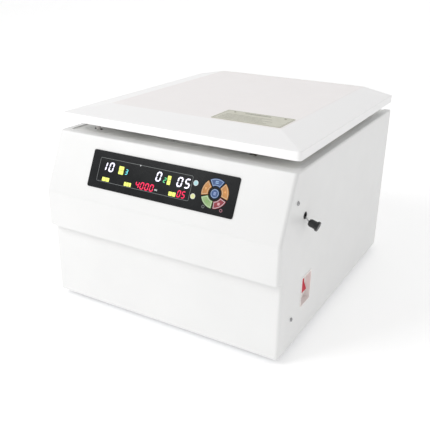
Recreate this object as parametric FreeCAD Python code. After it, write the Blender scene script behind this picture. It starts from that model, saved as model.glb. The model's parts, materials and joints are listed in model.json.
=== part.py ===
"""Benchtop laboratory centrifuge: painted sheet-metal case, hinged lid, swing-out rotor.

Millimetres. +X to the operator's right, +Y to the back, +Z up.
The origin is on the bench, under the middle of the case.
"""
import FreeCAD, Part
import math
import os

Vector = FreeCAD.Vector
X_AXIS, Y_AXIS, Z_AXIS = Vector(1, 0, 0), Vector(0, 1, 0), Vector(0, 0, 1)

# ---------------------------------------------------------------- driving dimensions
# Case
CASE_WIDTH = 400.0
CASE_DEPTH = 467.0
FOOT_HEIGHT = 10.0
CASE_TOP = 276.0
SHEET = 1.5
FRONT_SETBACK = 12.0        # the lower front stands back under the upper front
STEP_LEVEL = 131.0          # underside of the upper front
BEND_LEVEL = 187.0          # the upright band turns into the sloping front here
SLOPE_RUN = 41.2            # how far back the sloping front reaches at the top
CORNER_RADIUS = 5.0
BEND_RADIUS = 14.0
TOP_EDGE_RADIUS = 3.0
TOP_FLANGE = 12.0           # folded edge around the deck
FLANGE = 15.0               # hidden fixing flanges
FLANGE_GAP = 2.0

# Feet and the slots in the tray
FOOT_PLACES = [(-155.0, -180.0), (155.0, -180.0), (-155.0, 190.0), (155.0, 190.0)]
FOOT_RADIUS = 14.0
FOOT_TAPER = 2.0
FOOT_EDGE_RADIUS = 1.5
FOOT_SCREW = 3.0
FOOT_NUT_RADIUS, FOOT_NUT_HEIGHT = 5.5, 4.0
FOOT_STUD_END = 0.5         # the stud ends this far above its nut
TRAY_SLOTS = 8
TRAY_SLOT_LENGTH, TRAY_SLOT_WIDTH, TRAY_SLOT_PITCH = 60.0, 5.0, 12.0

# Lid
LID_GAP = 14.0              # open gap between the case top and the lid's lower edge
LID_WIDTH = 398.6
LID_FRONT = -186.0
LID_BACK = 232.0
LID_SKIRT = 12.5
LID_RISE = 10.2             # height of the sloping borders of the lid
LID_SIDE_BORDER = 53.7
LID_FRONT_BORDER = 56.2
LID_CORNER_RADIUS = 6.0
LID_FOLD_RADIUS = 4.0
LID_SHOULDER_RADIUS = 1.0
LINER_RECESS = 0.5
LINER_THICKNESS = 1.2
LABEL = (32.0, 142.6, -127.0, -71.2)
LABEL_THICKNESS = 0.6
LABEL_CORNER_RADIUS = 2.5
RIVETS = [(47.3, -79.0), (129.6, -79.0)]
RIVET_SHANK = 1.0
RIVET_HEAD = 2.2            # radius of the ball that the head is cut from
RIVET_SINK = 0.55           # share of that radius below the label

# Hinges
HINGE_XS = (-120.0, 120.0)
HINGE_HALF = 32.0
HINGE_KNUCKLE = 12.0        # half length of the lid's middle knuckle
HINGE_GAP = 0.5
HINGE_BARREL = 5.5
HINGE_PIN = 2.5
HINGE_WEB = 4.0             # the webs reach this far in front of the barrels
LEAF_THICKNESS = 1.5
LEAF_FRONT = 198.0
LEAF_BACK_GAP = 2.0
LEAF_CORNER_RADIUS = 4.0

# Lid lock, under the deck near the right front corner
LOCK_X, LOCK_Y = 112.0, -137.0
LOCK_LEFT, LOCK_RIGHT = 14.0, 34.0          # reach of the lock case to each side of LOCK_X
LOCK_LOW = 244.0
LOCK_WALL = 2.0
LOCK_FLOOR = 3.0
STRIKER_THICKNESS = 3.0
STRIKER_WIDTH = 16.0
STRIKER_LOW = 250.0
STRIKER_CORNER_RADIUS = 3.0
STRIKER_FOOT_HALF, STRIKER_FOOT_THICKNESS = 14.0, 2.0
STRIKER_SLOT_HALF_X, STRIKER_SLOT_HALF_Y = 6.0, 11.0
BOLT_HALF = 3.0
BOLT_LEVEL = 260.0
BOLT_START, BOLT_END = 9.0, 60.0            # measured from LOCK_X
BOLT_CHAMFER = 1.0
BOLT_WINDOW_GAP = 1.2
GUIDE_LEFT, GUIDE_PAST_BOLT = 12.0, 2.0
SOLENOID_RADIUS, SOLENOID_PAST_BOLT = 11.0, 6.0

# Lid switch, on the deck near the left front corner
LID_SWITCH = (-155.0, -154.5)
LID_SWITCH_SLEEVE = 3.4
LID_SWITCH_NECK = 3.0
LID_SWITCH_SLEEVE_HEIGHT = 6.0
LID_SWITCH_CASE = (9.0, 6.0, 24.0)          # half width, half depth and height
LID_SWITCH_BORE_DEPTH = 14.0
PLUNGER_RADIUS = 2.0
PLUNGER_DEPTH = 9.0
PLUNGER_END_RADIUS = 1.2
LID_CLEARANCE = 0.4         # between the closed lid and the plunger or the seal

# Chamber
CHAMBER_Y = 25.0            # the rotor axis is a little behind the middle
CHAMBER_RADIUS = 165.0
CHAMBER_FLOOR = 135.0
CHAMBER_FLANGE = 178.0
BOWL_WALL = 1.2
BOWL_CORNER = 22.0
BOWL_GAP = 1.3              # between the bowl and the deck's opening
SEAL_INNER, SEAL_OUTER = 170.0, 177.0
SEAL_CROWN_RADIUS = 3.0
SEAL_GROOVE_RADIUS, SEAL_GROOVE_OFFSET, SEAL_GROOVE_HEIGHT = 2.2, 0.6, 5.0

# Motor and its mounting
DAMPER_OFFSET = 60.0
DAMPER_RADIUS = 12.0
DAMPER_WAIST = 9.0
DAMPER_RIM = 4.0
DAMPER_LOW, DAMPER_HIGH = 78.0, 100.0
POST_RADIUS = 10.0
PLATE_THICKNESS = 4.0
PLATE_MARGIN = 3.0
MOTOR_RADIUS = 48.0
MOTOR_BORE = 30.0
MOTOR_LOW = 38.0
MOTOR_CAP = 8.0
MOTOR_CAP_FLOOR = 1.5
MOTOR_FLANGE = 58.0
BOSS_RADIUS = 20.0
BOSS_TOP = 124.0
BEARING_RADIUS = 16.0
BEARING_DEPTH = 10.0
SHAFT_RADIUS = 6.0
SHAFT_HOLE_GAP = 2.0
SHAFT_START = 6.0           # below the underside of the motor case
SHAFT_PAST_HUB = 10.0
SHAFT_CHAMFER = 1.0
MAGNET_GAP = 0.8
MAGNET_LOW, MAGNET_HIGH = 46.0, 94.0
BOOT_RADIUS = 42.0
BOOT_GRIP = 4.0
BOOT_WALL = 2.0

# Rotor
TRUNNION_RADIUS = 85.0      # rotor axis to bucket pivot
TRUNNION_LEVEL = 225.0
TRUNNION_PIN = 4.0
TRUNNION_GAP = 1.0
TRUNNION_HOLD = 9.0         # length of each pin inside the yoke
HUB_RADIUS = 24.0
HUB_LOW, HUB_HIGH = 205.0, 240.0
HUB_CHAMFER = 1.5
SLOT_HALF = 28.0
SLOT_END_GAP = 7.0
YOKE_REACH = 95.0
YOKE_CORNER = 50.0
YOKE_THICKNESS = 16.0
YOKE_CORNER_RADIUS = 12.0
YOKE_CHAMFER = 1.2
YOKE_HOLE_RADIUS, YOKE_HOLE_INSET = 11.0, 14.0
NUT_RADIUS, NUT_HEIGHT = 15.0, 18.0
NUT_EDGE_RADIUS = 3.0
NUT_FLUTES = 12
NUT_FLUTE_RADIUS, NUT_FLUTE_OFFSET, NUT_FLUTE_START = 1.8, 0.7, 3.0

# Buckets
BUCKETS = 4
BUCKET_RADIUS = 23.0
BUCKET_BORE = 20.5
BUCKET_BELOW = 62.0         # pivot to bucket foot
BUCKET_ABOVE = 10.0         # pivot to bucket rim
BUCKET_FLOOR = 3.0
BUCKET_FOOT_RADIUS = 6.0
BUCKET_COLLAR = 20.0
BUCKET_COLLAR_STEP = 0.6
EAR_HALF, EAR_TOP, EAR_FOOT = 9.0, 1.0, 22.0
EAR_CORNER_RADIUS = 4.0
EAR_GAP = 1.0
NOTCH_FOOT = 30.0
CUSHION_HEIGHT = 8.0
CUSHION_GAP = 0.2
CUSHION_SEAT_RADIUS, CUSHION_SEAT_DEPTH = 18.0, 5.0

# Running clearances
RUNNING_GAP = 0.05          # radial clearance of shafts and hinge pins
SLIDING_GAP = 0.3           # clearance around pieces that slide
PAST = 1.0                  # cutters run this far past the faces they cut
SAME_LENGTH = 0.01
SAME_DIRECTION = 1e-6

# Control panel, measured on the sloping front from the bend upwards
PANEL_HALF_WIDTH = 124.0
PANEL_LOW, PANEL_HIGH = 22.4, 78.9
PANEL_THICKNESS = 1.2
PANEL_CORNER_RADIUS = 3.0
PANEL_EDGE_RADIUS = 0.4
PANEL_LAP = 6.0             # overlap of the panel on the sheet around its window
KEY_RING = (91.0, 51.0)
KEY_OUTER, KEY_INNER = 20.8, 10.3
KEY_CENTRE_RADIUS = 6.7
KEY_COUNT = 5
KEY_GAP_ANGLE = 7.0
KEY_PROUD = 0.7
KEY_EDGE_RADIUS, KEY_CENTRE_EDGE_RADIUS = 0.4, 0.6
KEY_BACK = -2.5
KEY_CLEARANCE = 0.25
KEY_ANGLES = {"key_up": 90.0, "key_mode": 18.0, "key_stop": -54.0, "key_start": -126.0, "key_down": 162.0}
BOARD_BACK, BOARD_FRONT = -12.0, -10.4
BOARD_LEFT, BOARD_RIGHT = -114.0, 118.0
BOARD_EDGE = 5.0
BUTTON_HALF, BUTTON_TOP = 3.0, -6.9
STEM_RADIUS, STEM_GAP = 1.6, 0.7
DIGIT_TOP = -0.6
DIGIT_BLOCKS = [
    (-100.0, -76.0, 47.0, 66.0),
    (-10.0, 6.0, 48.0, 67.0),
    (27.0, 54.0, 47.0, 67.0),
    (-40.0, -4.0, 33.0, 46.0),
    (31.0, 49.0, 34.0, 46.5),
]

# Emergency release on the right side
PULL_Y, PULL_Z = -157.0, 206.6
PULL_HOLE_RADIUS = 5.0
GROMMET_WALL = 1.2
GROMMET_FLANGE, GROMMET_FLANGE_THICKNESS = 0.3, 0.6
GROMMET_DEPTH = 3.0
WIRE_RADIUS = 0.9
WIRE_SAG = 2.4              # the wire lies this far below the middle of its hole
WIRE_INNER_END = 84.0
WIRE_BEND = 1.5             # the wire bends this far outside the wall
WIRE_STOP_RADIUS, WIRE_STOP_LENGTH = 2.2, 6.0
KNOB_START = (206.4, 198.4)
KNOB_DROOP = 17.0
KNOB_LENGTH = 15.0
KNOB_GRIP = 4.0             # length of wire inside the knob
KNOB_NECK, KNOB_BODY, KNOB_FLANGE = 4.0, 5.5, 7.0
KNOB_PROFILE = [
    (0.0, 0.0),
    (KNOB_NECK, 0.0),
    (KNOB_BODY - 0.3, 2.0),
    (KNOB_BODY, 3.0),
    (KNOB_BODY, KNOB_LENGTH - 4.6),
    (KNOB_FLANGE, KNOB_LENGTH - 3.0),
    (KNOB_FLANGE, KNOB_LENGTH - 0.4),
    (KNOB_FLANGE - 0.4, KNOB_LENGTH),
    (0.0, KNOB_LENGTH),
]

# Power switch on the right side: a pocket in the wall with the rocker in its floor
SWITCH_Y, SWITCH_Z = -133.0, 83.0
SWITCH_WIDTH, SWITCH_HEIGHT = 36.6, 48.6
SWITCH_LAP = 0.9            # the rim covers this much of the wall around its hole
SWITCH_WALL = 0.8
SWITCH_PROUD = 0.8
SWITCH_CORNER_RADIUS, SWITCH_RIM_RADIUS = 3.0, 0.3
POCKET_CORNER_RADIUS = 2.0
POCKET_DEPTH = 7.5
POCKET_FLOOR = 1.5
SWITCH_CASE_DEPTH = 26.0
SWITCH_CASE_HALF_WIDTH, SWITCH_CASE_HALF_HEIGHT = 15.2, 15.0
ROCKER_Z = 84.5
ROCKER_DEPTH = 13.0         # rocker axis behind the outside of the wall
ROCKER_HALF_WIDTH, ROCKER_HALF_HEIGHT = 12.0, 11.0
ROCKER_TILT = 14.0
ROCKER_REACH, ROCKER_DIP = 7.6, 6.2         # axis to the ends and to the middle of its face
ROCKER_CHIN, ROCKER_BACK, ROCKER_BACK_HALF = 1.0, -6.0, 3.5
ROCKER_EDGE_RADIUS = 0.8
ROCKER_PIN_RADIUS, ROCKER_PIN_LENGTH = 1.6, 2.0
WELL_GAP, WELL_HALF_HEIGHT, WELL_DEPTH = 0.5, 13.8, 22.0
TERMINAL_LENGTH, TERMINAL_HALF_WIDTH, TERMINAL_HALF_THICKNESS = 9.0, 2.4, 0.4
TERMINALS = [(y, z) for y in (-6.0, 6.0) for z in (-9.0, 0.0)]

# Screws on the outside of the case
SIDE_SCREWS = [(-186.0, 233.6), (-182.5, 56.0)]
REAR_SCREWS = [(x, z) for x in (-185.0, 0.0, 185.0) for z in (40.0, 255.0)]
SCREW_SHANK = 2.0
SCREW_LENGTH = 6.0
SCREW_HEAD = 3.0
SCREW_HEAD_HEIGHT = 1.9
SCREW_CROWN_RADIUS = 0.9
CROSS_REACH, CROSS_HALF, CROSS_DEPTH = 1.7, 0.4, 0.9

# Fan, air slots and power inlet at the rear
FAN_X, FAN_Z = -95.0, 95.0
FAN_SIZE = 80.0
FAN_DEPTH = 25.0
FAN_CORNER_RADIUS = 4.0
FAN_HOLE_RADIUS = 38.0
FAN_SCREW_OFFSET = 35.75
FAN_SCREW_DEPTH = 8.0
FAN_HUB = 17.0
FAN_HUB_EDGE_RADIUS = 2.0
FAN_TIP = 36.6
FAN_BORE = 38.0
FAN_POST = 3.0
FAN_BOSS = 12.0
FAN_DISC = 3.0
FAN_STRUTS = 3
FAN_STRUT_HALF = 2.0
FAN_BLADES = 7
FAN_BLADE_LEAN, FAN_BLADE_HALF = 5.0, 0.8
FAN_BLADE_MARGIN = 1.5
FAN_DISC_GAP, FAN_BACK_GAP = 0.8, 1.5
GUARD_WIRE = 0.9
GUARD_RINGS = (10.0, 18.0, 26.0, 34.0, 41.0)
GUARD_SPOKES = 4
GUARD_RING_LEVEL = 2.2
GUARD_SPOKE_START = 9.0
GUARD_SCREW_GAP = 0.6
AIR_SLOT_LENGTH, AIR_SLOT_HEIGHT, AIR_SLOT_PITCH = 46.0, 4.0, 11.0
AIR_SLOT_ROWS, AIR_SLOT_START = 6, 185.0
AIR_SLOT_COLUMNS = (-93.0, -31.0, 31.0, 93.0)
INLET_X, INLET_Z = 120.0, 62.0
INLET_WIDTH, INLET_HEIGHT = 27.0, 47.0
INLET_BODY_DEPTH = 26.0
INLET_GAP = 0.3
INLET_FLANGE = (15.5, 27.0, 2.0)            # half width, half height and thickness
INLET_CORNER_RADIUS = 3.0
RECESS_DROP, RECESS_HALF_WIDTH, RECESS_HALF_HEIGHT, RECESS_DEPTH = 11.0, 12.2, 8.2, 17.0
RECESS_CHAMFER = 4.0
INLET_BLADES = [(-7.0, -1.5), (0.0, 3.5), (7.0, -1.5)]
INLET_BLADE_HALF_WIDTH, INLET_BLADE_HALF_HEIGHT, INLET_BLADE_INSET = 1.0, 2.0, 3.5
DRAWER_RISE, DRAWER_HALF_WIDTH, DRAWER_HALF_HEIGHT = 14.0, 11.2, 6.7
DRAWER_GAP, DRAWER_DEPTH, DRAWER_PROUD = 0.3, 1.2, 0.2
DRAWER_NOTCH_HALF, DRAWER_NOTCH_RISE, DRAWER_NOTCH_DEPTH = 4.0, 4.5, 1.0

# Drive board on the tray
BOARD_X0, BOARD_X1 = -190.0, -100.0
BOARD_Y0, BOARD_Y1 = -190.0, -20.0
BOARD_Z = 24.0
BOARD_THICKNESS = 1.6
PILLAR_INSET, PILLAR_RADIUS = 6.0, 3.5
CAPACITORS = [(-172.0, -165.0), (-140.0, -165.0), (-172.0, -128.0)]
CAPACITOR_RADIUS, CAPACITOR_HEIGHT = 12.5, 40.0
TRANSFORMER = (-150.0, -112.0, -142.0, -104.0, 30.0)
TERMINAL_BLOCK = (-185.0, -165.0, -105.0, -60.0, 12.0)
SINK_X0, SINK_X1, SINK_Y0, SINK_Y1 = -155.0, -105.0, -90.0, -30.0
SINK_BASE, SINK_FIN_HEIGHT, SINK_FIN_WIDTH = 6.0, 30.0, 2.0
SINK_FINS = 10

# ---------------------------------------------------------------- worked-out values
HALF_WIDTH = CASE_WIDTH / 2
FRONT = -CASE_DEPTH / 2
REAR = CASE_DEPTH / 2
CASE_BOTTOM = FOOT_HEIGHT
LOWER_FRONT = FRONT + FRONT_SETBACK
SIDE_FRONT = LOWER_FRONT + CORNER_RADIUS
SLOPE = SLOPE_RUN / (CASE_TOP - BEND_LEVEL)
SLOPE_ANGLE = math.degrees(math.atan2(CASE_TOP - BEND_LEVEL, SLOPE_RUN))
DECK_TOP = CASE_TOP - SHEET
DECK_UNDER = DECK_TOP - SHEET
LID_BOTTOM = CASE_TOP + LID_GAP
LID_SHOULDER = LID_BOTTOM + LID_SKIRT
LID_TOP = LID_SHOULDER + LID_RISE
LINER_UNDER = LID_BOTTOM + LINER_RECESS
HINGE_Y = REAR - HINGE_BARREL
HINGE_Z = CASE_TOP + LID_GAP / 2
ROTOR_AXIS = Vector(0, CHAMBER_Y, 0)
MOTOR_TOP = DAMPER_HIGH + PLATE_THICKNESS
BUCKET_TURN = 360.0 / BUCKETS
PANEL_PLACE = FreeCAD.Placement(
    Vector(0, FRONT, BEND_LEVEL), FreeCAD.Rotation(X_AXIS, SLOPE_ANGLE)
)
ROCKER_X = HALF_WIDTH - ROCKER_DEPTH
WIRE_LEVEL = PULL_Z - WIRE_SAG
WIRE_BEND_X = HALF_WIDTH + WIRE_BEND
FAN_FRONT = REAR - SHEET - FAN_DEPTH


# ---------------------------------------------------------------- shape helpers
def box(x0, x1, y0, y1, z0, z1):
    """A block between two corners."""
    return Part.makeBox(x1 - x0, y1 - y0, z1 - z0, Vector(x0, y0, z0))


def rod(radius, start, end):
    """A round bar between two points."""
    line = end - start
    return Part.makeCylinder(radius, line.Length, start, line)


def upright(radius, x, y, z0, z1):
    """A round bar along Z."""
    return rod(radius, Vector(x, y, z0), Vector(x, y, z1))


def tube(outer, inner, start, end):
    """A round bar with a round hole through it."""
    return rod(outer, start, end).cut(rod(inner, start, end))


def prism(points, along):
    """A closed polygon of points, pulled along a vector."""
    return Part.Face(Part.makePolygon(points + [points[0]])).extrude(along)


def side_prism(outline, x0, x1):
    """A (y, z) outline, pulled along X."""
    return prism([Vector(x0, y, z) for y, z in outline], Vector(x1 - x0, 0, 0))


def plan_prism(outline, z0, z1):
    """An (x, y) outline, pulled along Z."""
    return prism([Vector(x, y, z0) for x, y in outline], Vector(0, 0, z1 - z0))


def revolved(outline, x=0.0, y=0.0):
    """An (r, z) outline turned about the upright axis through (x, y)."""
    points = [Vector(x + r, y, z) for r, z in outline]
    face = Part.Face(Part.makePolygon(points + [points[0]]))
    return face.revolve(Vector(x, y, 0), Z_AXIS, 360)


def joined(shapes):
    """Several shapes fused into one clean solid."""
    return shapes[0].multiFuse(shapes[1:]).removeSplitter() if len(shapes) > 1 else shapes[0]


def without(shape, cutters):
    """A shape with other shapes cut out of it."""
    return shape.cut(Part.makeCompound(cutters)) if cutters else shape


def rounded(shape, radius, chosen):
    """Round the edges that the test picks."""
    edges = [edge for edge in shape.Edges if chosen(edge)]
    return shape.makeFillet(radius, edges)


def chamfered(shape, size, chosen):
    """Bevel the edges that the test picks."""
    edges = [edge for edge in shape.Edges if chosen(edge)]
    return shape.makeChamfer(size, edges)


def middle(edge):
    """The point halfway along an edge."""
    return edge.valueAt((edge.FirstParameter + edge.LastParameter) / 2)


def runs_along(edge, axis):
    """True for a straight edge in the direction of an axis."""
    ends = edge.Vertexes
    if len(ends) < 2:
        return False
    line = ends[1].Point - ends[0].Point
    return line.Length > 0 and line.cross(axis).Length < SAME_DIRECTION * line.Length


def near(value, target):
    """True when two lengths are the same."""
    return abs(value - target) < SAME_LENGTH


def turned(shape, angle):
    """A copy turned about the rotor axis."""
    copy = shape.copy()
    copy.rotate(ROTOR_AXIS, Z_AXIS, angle)
    return copy


def mirrored(shape):
    """A copy on the other side of the case's middle plane."""
    return shape.mirror(Vector(0, 0, 0), X_AXIS)


def on_panel(shape):
    """A piece drawn flat, x across and y up the slope, set on the sloping front."""
    shape.Placement = PANEL_PLACE.multiply(shape.Placement)
    return shape


def grouped(shapes):
    """Separate solids that share a node."""
    return Part.makeCompound(shapes)


# ---------------------------------------------------------------- case
def slope_y(level, inset):
    """Where the sloping front stands at a level, moved inwards."""
    lean = math.cos(math.atan(SLOPE))
    return FRONT + (level - BEND_LEVEL) * SLOPE + inset / lean


def housing_block(inset, past):
    """The upper housing as a solid, moved inwards by inset and past the open sides."""
    lean = math.cos(math.atan(SLOPE))
    bend = BEND_LEVEL + (inset - inset / lean) / SLOPE
    top = CASE_TOP - inset
    outline = [
        (FRONT + inset, STEP_LEVEL + inset),
        (FRONT + inset, bend),
        (slope_y(top, inset), top),
        (REAR + past, top),
        (REAR + past, CASE_BOTTOM - past),
        (SIDE_FRONT - past, CASE_BOTTOM - past),
        (SIDE_FRONT - past, STEP_LEVEL + inset),
    ]
    half = HALF_WIDTH - inset
    block = side_prism(outline, -half, half)
    block = rounded(
        block,
        BEND_RADIUS - inset,
        lambda e: runs_along(e, X_AXIS) and near(middle(e).z, bend) and middle(e).y < 0,
    )
    block = rounded(
        block,
        CORNER_RADIUS - inset,
        lambda e: near(abs(middle(e).x), half)
        and middle(e).y < slope_y(top, inset)
        and STEP_LEVEL + inset + SHEET < middle(e).z < top - SHEET,
    )
    return rounded(
        block,
        TOP_EDGE_RADIUS - inset,
        lambda e: near(middle(e).z, top) and middle(e).y < REAR - SHEET,
    )


def housing_wrap():
    """Sides and upper front in one folded sheet, with a narrow folded edge at the top."""
    sheet = housing_block(0, 0).cut(housing_block(SHEET, PAST))
    inner = HALF_WIDTH - TOP_FLANGE
    hole_front = slope_y(CASE_TOP, 0) + TOP_FLANGE
    deck_hole = box(-inner, inner, hole_front, REAR + PAST, DECK_TOP, CASE_TOP + PAST)
    across = PANEL_HALF_WIDTH - PANEL_LAP
    window = on_panel(
        box(-across, across, PANEL_LOW + PANEL_LAP, PANEL_HIGH - PANEL_LAP, -BEND_RADIUS, PANEL_THICKNESS)
    )
    wall = HALF_WIDTH - SHEET - PAST
    pull_hole = rod(PULL_HOLE_RADIUS, Vector(wall, PULL_Y, PULL_Z), Vector(HALF_WIDTH + PAST, PULL_Y, PULL_Z))
    switch_hole = switch_block(SWITCH_LAP, wall, HALF_WIDTH + PAST)
    screw_holes = [shank for _, shank in side_screw_shapes(SCREW_SHANK)]
    return without(sheet, [deck_hole, window, pull_hole, switch_hole] + screw_holes)


def lower_front_panel():
    """The set-back lower front: rounded upright corners and hidden fixing tabs."""

    def block(inset):
        """The panel as a solid, moved inwards by inset."""
        half = HALF_WIDTH - inset
        solid = box(-half, half, LOWER_FRONT + inset, SIDE_FRONT + FLANGE, CASE_BOTTOM, STEP_LEVEL)
        return rounded(
            solid,
            CORNER_RADIUS - inset,
            lambda e: runs_along(e, Z_AXIS) and middle(e).y < LOWER_FRONT + CORNER_RADIUS,
        )

    sheet = block(0).cut(block(SHEET))
    behind = box(
        -HALF_WIDTH - PAST, HALF_WIDTH + PAST, SIDE_FRONT, SIDE_FRONT + 2 * FLANGE, 0, STEP_LEVEL + PAST
    )
    sheet = sheet.cut(behind)
    inner = HALF_WIDTH - SHEET
    low = CASE_BOTTOM + 2 * FLANGE
    tab = box(
        inner - SHEET, inner, SIDE_FRONT - SHEET, SIDE_FRONT + FLANGE, low, STEP_LEVEL - SHEET
    )
    top = box(
        -inner, inner, LOWER_FRONT + SHEET, SIDE_FRONT + FLANGE, STEP_LEVEL - SHEET, STEP_LEVEL
    )
    return joined([sheet, top, tab, mirrored(tab)])


def tray_slots():
    """Cutters for the row of air slots under the motor."""
    cutters = []
    for n in range(TRAY_SLOTS):
        y = CHAMBER_Y + (n - (TRAY_SLOTS - 1) / 2) * TRAY_SLOT_PITCH
        cutters.append(
            box(
                -TRAY_SLOT_LENGTH / 2,
                TRAY_SLOT_LENGTH / 2,
                y - TRAY_SLOT_WIDTH / 2,
                y + TRAY_SLOT_WIDTH / 2,
                CASE_BOTTOM - PAST,
                CASE_BOTTOM + SHEET + PAST,
            )
        )
    return cutters


def base_pan():
    """Floor tray with turned-up edges, four posts for the motor and holes for the feet."""
    half = HALF_WIDTH - SHEET
    front = LOWER_FRONT + SHEET
    back = REAR - SHEET
    high = CASE_BOTTOM + FLANGE
    tray = box(-half, half, front, back, CASE_BOTTOM, high)
    hollow = box(
        -half + SHEET, half - SHEET, front + SHEET, back - SHEET, CASE_BOTTOM + SHEET, high + PAST
    )
    # the front corners of the tray clear the rounded corners of the front panel
    notch = box(half - FLANGE, half + PAST, front - PAST, SIDE_FRONT, CASE_BOTTOM - PAST, high + PAST)
    posts = [
        upright(POST_RADIUS, x, CHAMBER_Y + y, CASE_BOTTOM + SHEET / 2, DAMPER_LOW)
        for x in (-DAMPER_OFFSET, DAMPER_OFFSET)
        for y in (-DAMPER_OFFSET, DAMPER_OFFSET)
    ]
    foot_holes = [upright(FOOT_SCREW, x, y, 0, CASE_BOTTOM + SHEET + PAST) for x, y in FOOT_PLACES]
    tray = without(tray, [hollow, notch, mirrored(notch)])
    return without(joined([tray] + posts), foot_holes + tray_slots())


def rubber_feet():
    """Four rubber feet, each with a stud up through the tray."""
    feet = []
    for x, y in FOOT_PLACES:
        foot = Part.makeCone(FOOT_RADIUS - FOOT_TAPER, FOOT_RADIUS, FOOT_HEIGHT, Vector(x, y, 0))
        foot = rounded(foot, FOOT_EDGE_RADIUS, lambda e: near(middle(e).z, 0))
        nut_low = FOOT_HEIGHT + SHEET
        nut_high = nut_low + FOOT_NUT_HEIGHT
        stud = upright(FOOT_SCREW, x, y, FOOT_HEIGHT - PAST, nut_high + FOOT_STUD_END)
        nut = upright(FOOT_NUT_RADIUS, x, y, nut_low, nut_high)
        feet.append(joined([foot, stud, nut]))
    return grouped(feet)


def air_slots():
    """Cutters for the rows of round-ended slots in the rear panel."""
    cutters = []
    for x in AIR_SLOT_COLUMNS:
        for row in range(AIR_SLOT_ROWS):
            z = AIR_SLOT_START + row * AIR_SLOT_PITCH
            slot = box(
                x - AIR_SLOT_LENGTH / 2,
                x + AIR_SLOT_LENGTH / 2,
                REAR - SHEET - PAST,
                REAR + PAST,
                z,
                z + AIR_SLOT_HEIGHT,
            )
            end_radius = AIR_SLOT_HEIGHT / 2 - RUNNING_GAP
            cutters.append(rounded(slot, end_radius, lambda e: runs_along(e, Y_AXIS)))
    return cutters


def rear_panel():
    """Rear sheet with the fan opening, inlet cut-out and rows of air slots."""
    half = HALF_WIDTH - SHEET
    inner_face = REAR - SHEET
    sheet = box(-half, half, inner_face, REAR, CASE_BOTTOM, DECK_UNDER)
    low = CASE_BOTTOM + 2 * FLANGE
    high = DECK_UNDER - FLANGE - FLANGE_GAP
    flange = box(half - SHEET, half, inner_face - FLANGE, inner_face, low, high)
    fan = rod(FAN_HOLE_RADIUS, Vector(FAN_X, inner_face - PAST, FAN_Z), Vector(FAN_X, REAR + PAST, FAN_Z))
    inlet = box(
        INLET_X - INLET_WIDTH / 2,
        INLET_X + INLET_WIDTH / 2,
        inner_face - PAST,
        REAR + PAST,
        INLET_Z - INLET_HEIGHT / 2,
        INLET_Z + INLET_HEIGHT / 2,
    )
    screw_holes = [shank for _, shank in rear_screw_shapes(SCREW_SHANK)]
    panel = joined([sheet, flange, mirrored(flange)])
    return without(panel, [fan, inlet] + air_slots() + screw_holes)


def top_deck():
    """Deck around the chamber, under the folded edge of the housing."""
    half = HALF_WIDTH - SHEET
    front = slope_y(DECK_UNDER, SHEET) + FLANGE_GAP
    back = REAR - SHEET
    low = DECK_TOP - FLANGE
    plate = box(-half, half, front, REAR, DECK_UNDER, DECK_TOP)
    clear = TOP_EDGE_RADIUS - SHEET - RUNNING_GAP
    plate = chamfered(
        plate, clear, lambda e: runs_along(e, Y_AXIS) and near(middle(e).z, DECK_TOP)
    )
    skirt = box(-half, half, front, back, low, DECK_UNDER)
    hollow = box(-half + SHEET, half - SHEET, front + SHEET, back - SHEET, low - PAST, DECK_UNDER)
    mouth = upright(CHAMBER_RADIUS + BOWL_WALL + BOWL_GAP, 0, CHAMBER_Y, low - PAST, DECK_TOP + PAST)
    striker = striker_slot(DECK_UNDER - PAST, DECK_TOP + PAST)
    plunger = upright(LID_SWITCH_NECK, *LID_SWITCH, DECK_UNDER - PAST, DECK_TOP + PAST)
    return without(joined([plate, skirt.cut(hollow)]), [mouth, striker, plunger])


def chamber_bowl():
    """Stainless bowl: flange on the deck, straight wall, rounded foot and shaft hole."""
    outer = CHAMBER_RADIUS + BOWL_WALL
    under = CHAMBER_FLOOR - BOWL_WALL
    top = DECK_TOP + BOWL_WALL
    outline = [
        (0, under),
        (outer, under),
        (outer, DECK_TOP),
        (CHAMBER_FLANGE, DECK_TOP),
        (CHAMBER_FLANGE, top),
        (0, top),
    ]
    solid = revolved(outline, 0, CHAMBER_Y)
    hollow = upright(CHAMBER_RADIUS, 0, CHAMBER_Y, CHAMBER_FLOOR, top + PAST)
    solid = rounded(
        solid, BOWL_CORNER + BOWL_WALL, lambda e: near(middle(e).z, under) and e.Length > CHAMBER_RADIUS
    )
    hollow = rounded(
        hollow, BOWL_CORNER, lambda e: near(middle(e).z, CHAMBER_FLOOR) and e.Length > CHAMBER_RADIUS
    )
    shaft_hole = upright(BOOT_RADIUS - BOOT_GRIP, 0, CHAMBER_Y, under - PAST, CHAMBER_FLOOR + PAST)
    return without(solid, [hollow, shaft_hole])


def deck_seal():
    """Rubber ring that closes the gap between the bowl's flange and the lid."""
    low = DECK_TOP + BOWL_WALL
    high = LINER_UNDER - LID_CLEARANCE
    outline = [(SEAL_INNER, low), (SEAL_OUTER, low), (SEAL_OUTER, high), (SEAL_INNER, high)]
    ring = revolved(outline, 0, CHAMBER_Y)
    ring = rounded(ring, SEAL_CROWN_RADIUS, lambda e: near(middle(e).z, high))
    centre = Vector(0, CHAMBER_Y, low + SEAL_GROOVE_HEIGHT)
    groove = Part.makeTorus(SEAL_OUTER + SEAL_GROOVE_OFFSET, SEAL_GROOVE_RADIUS, centre, Z_AXIS)
    return ring.cut(groove)


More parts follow.
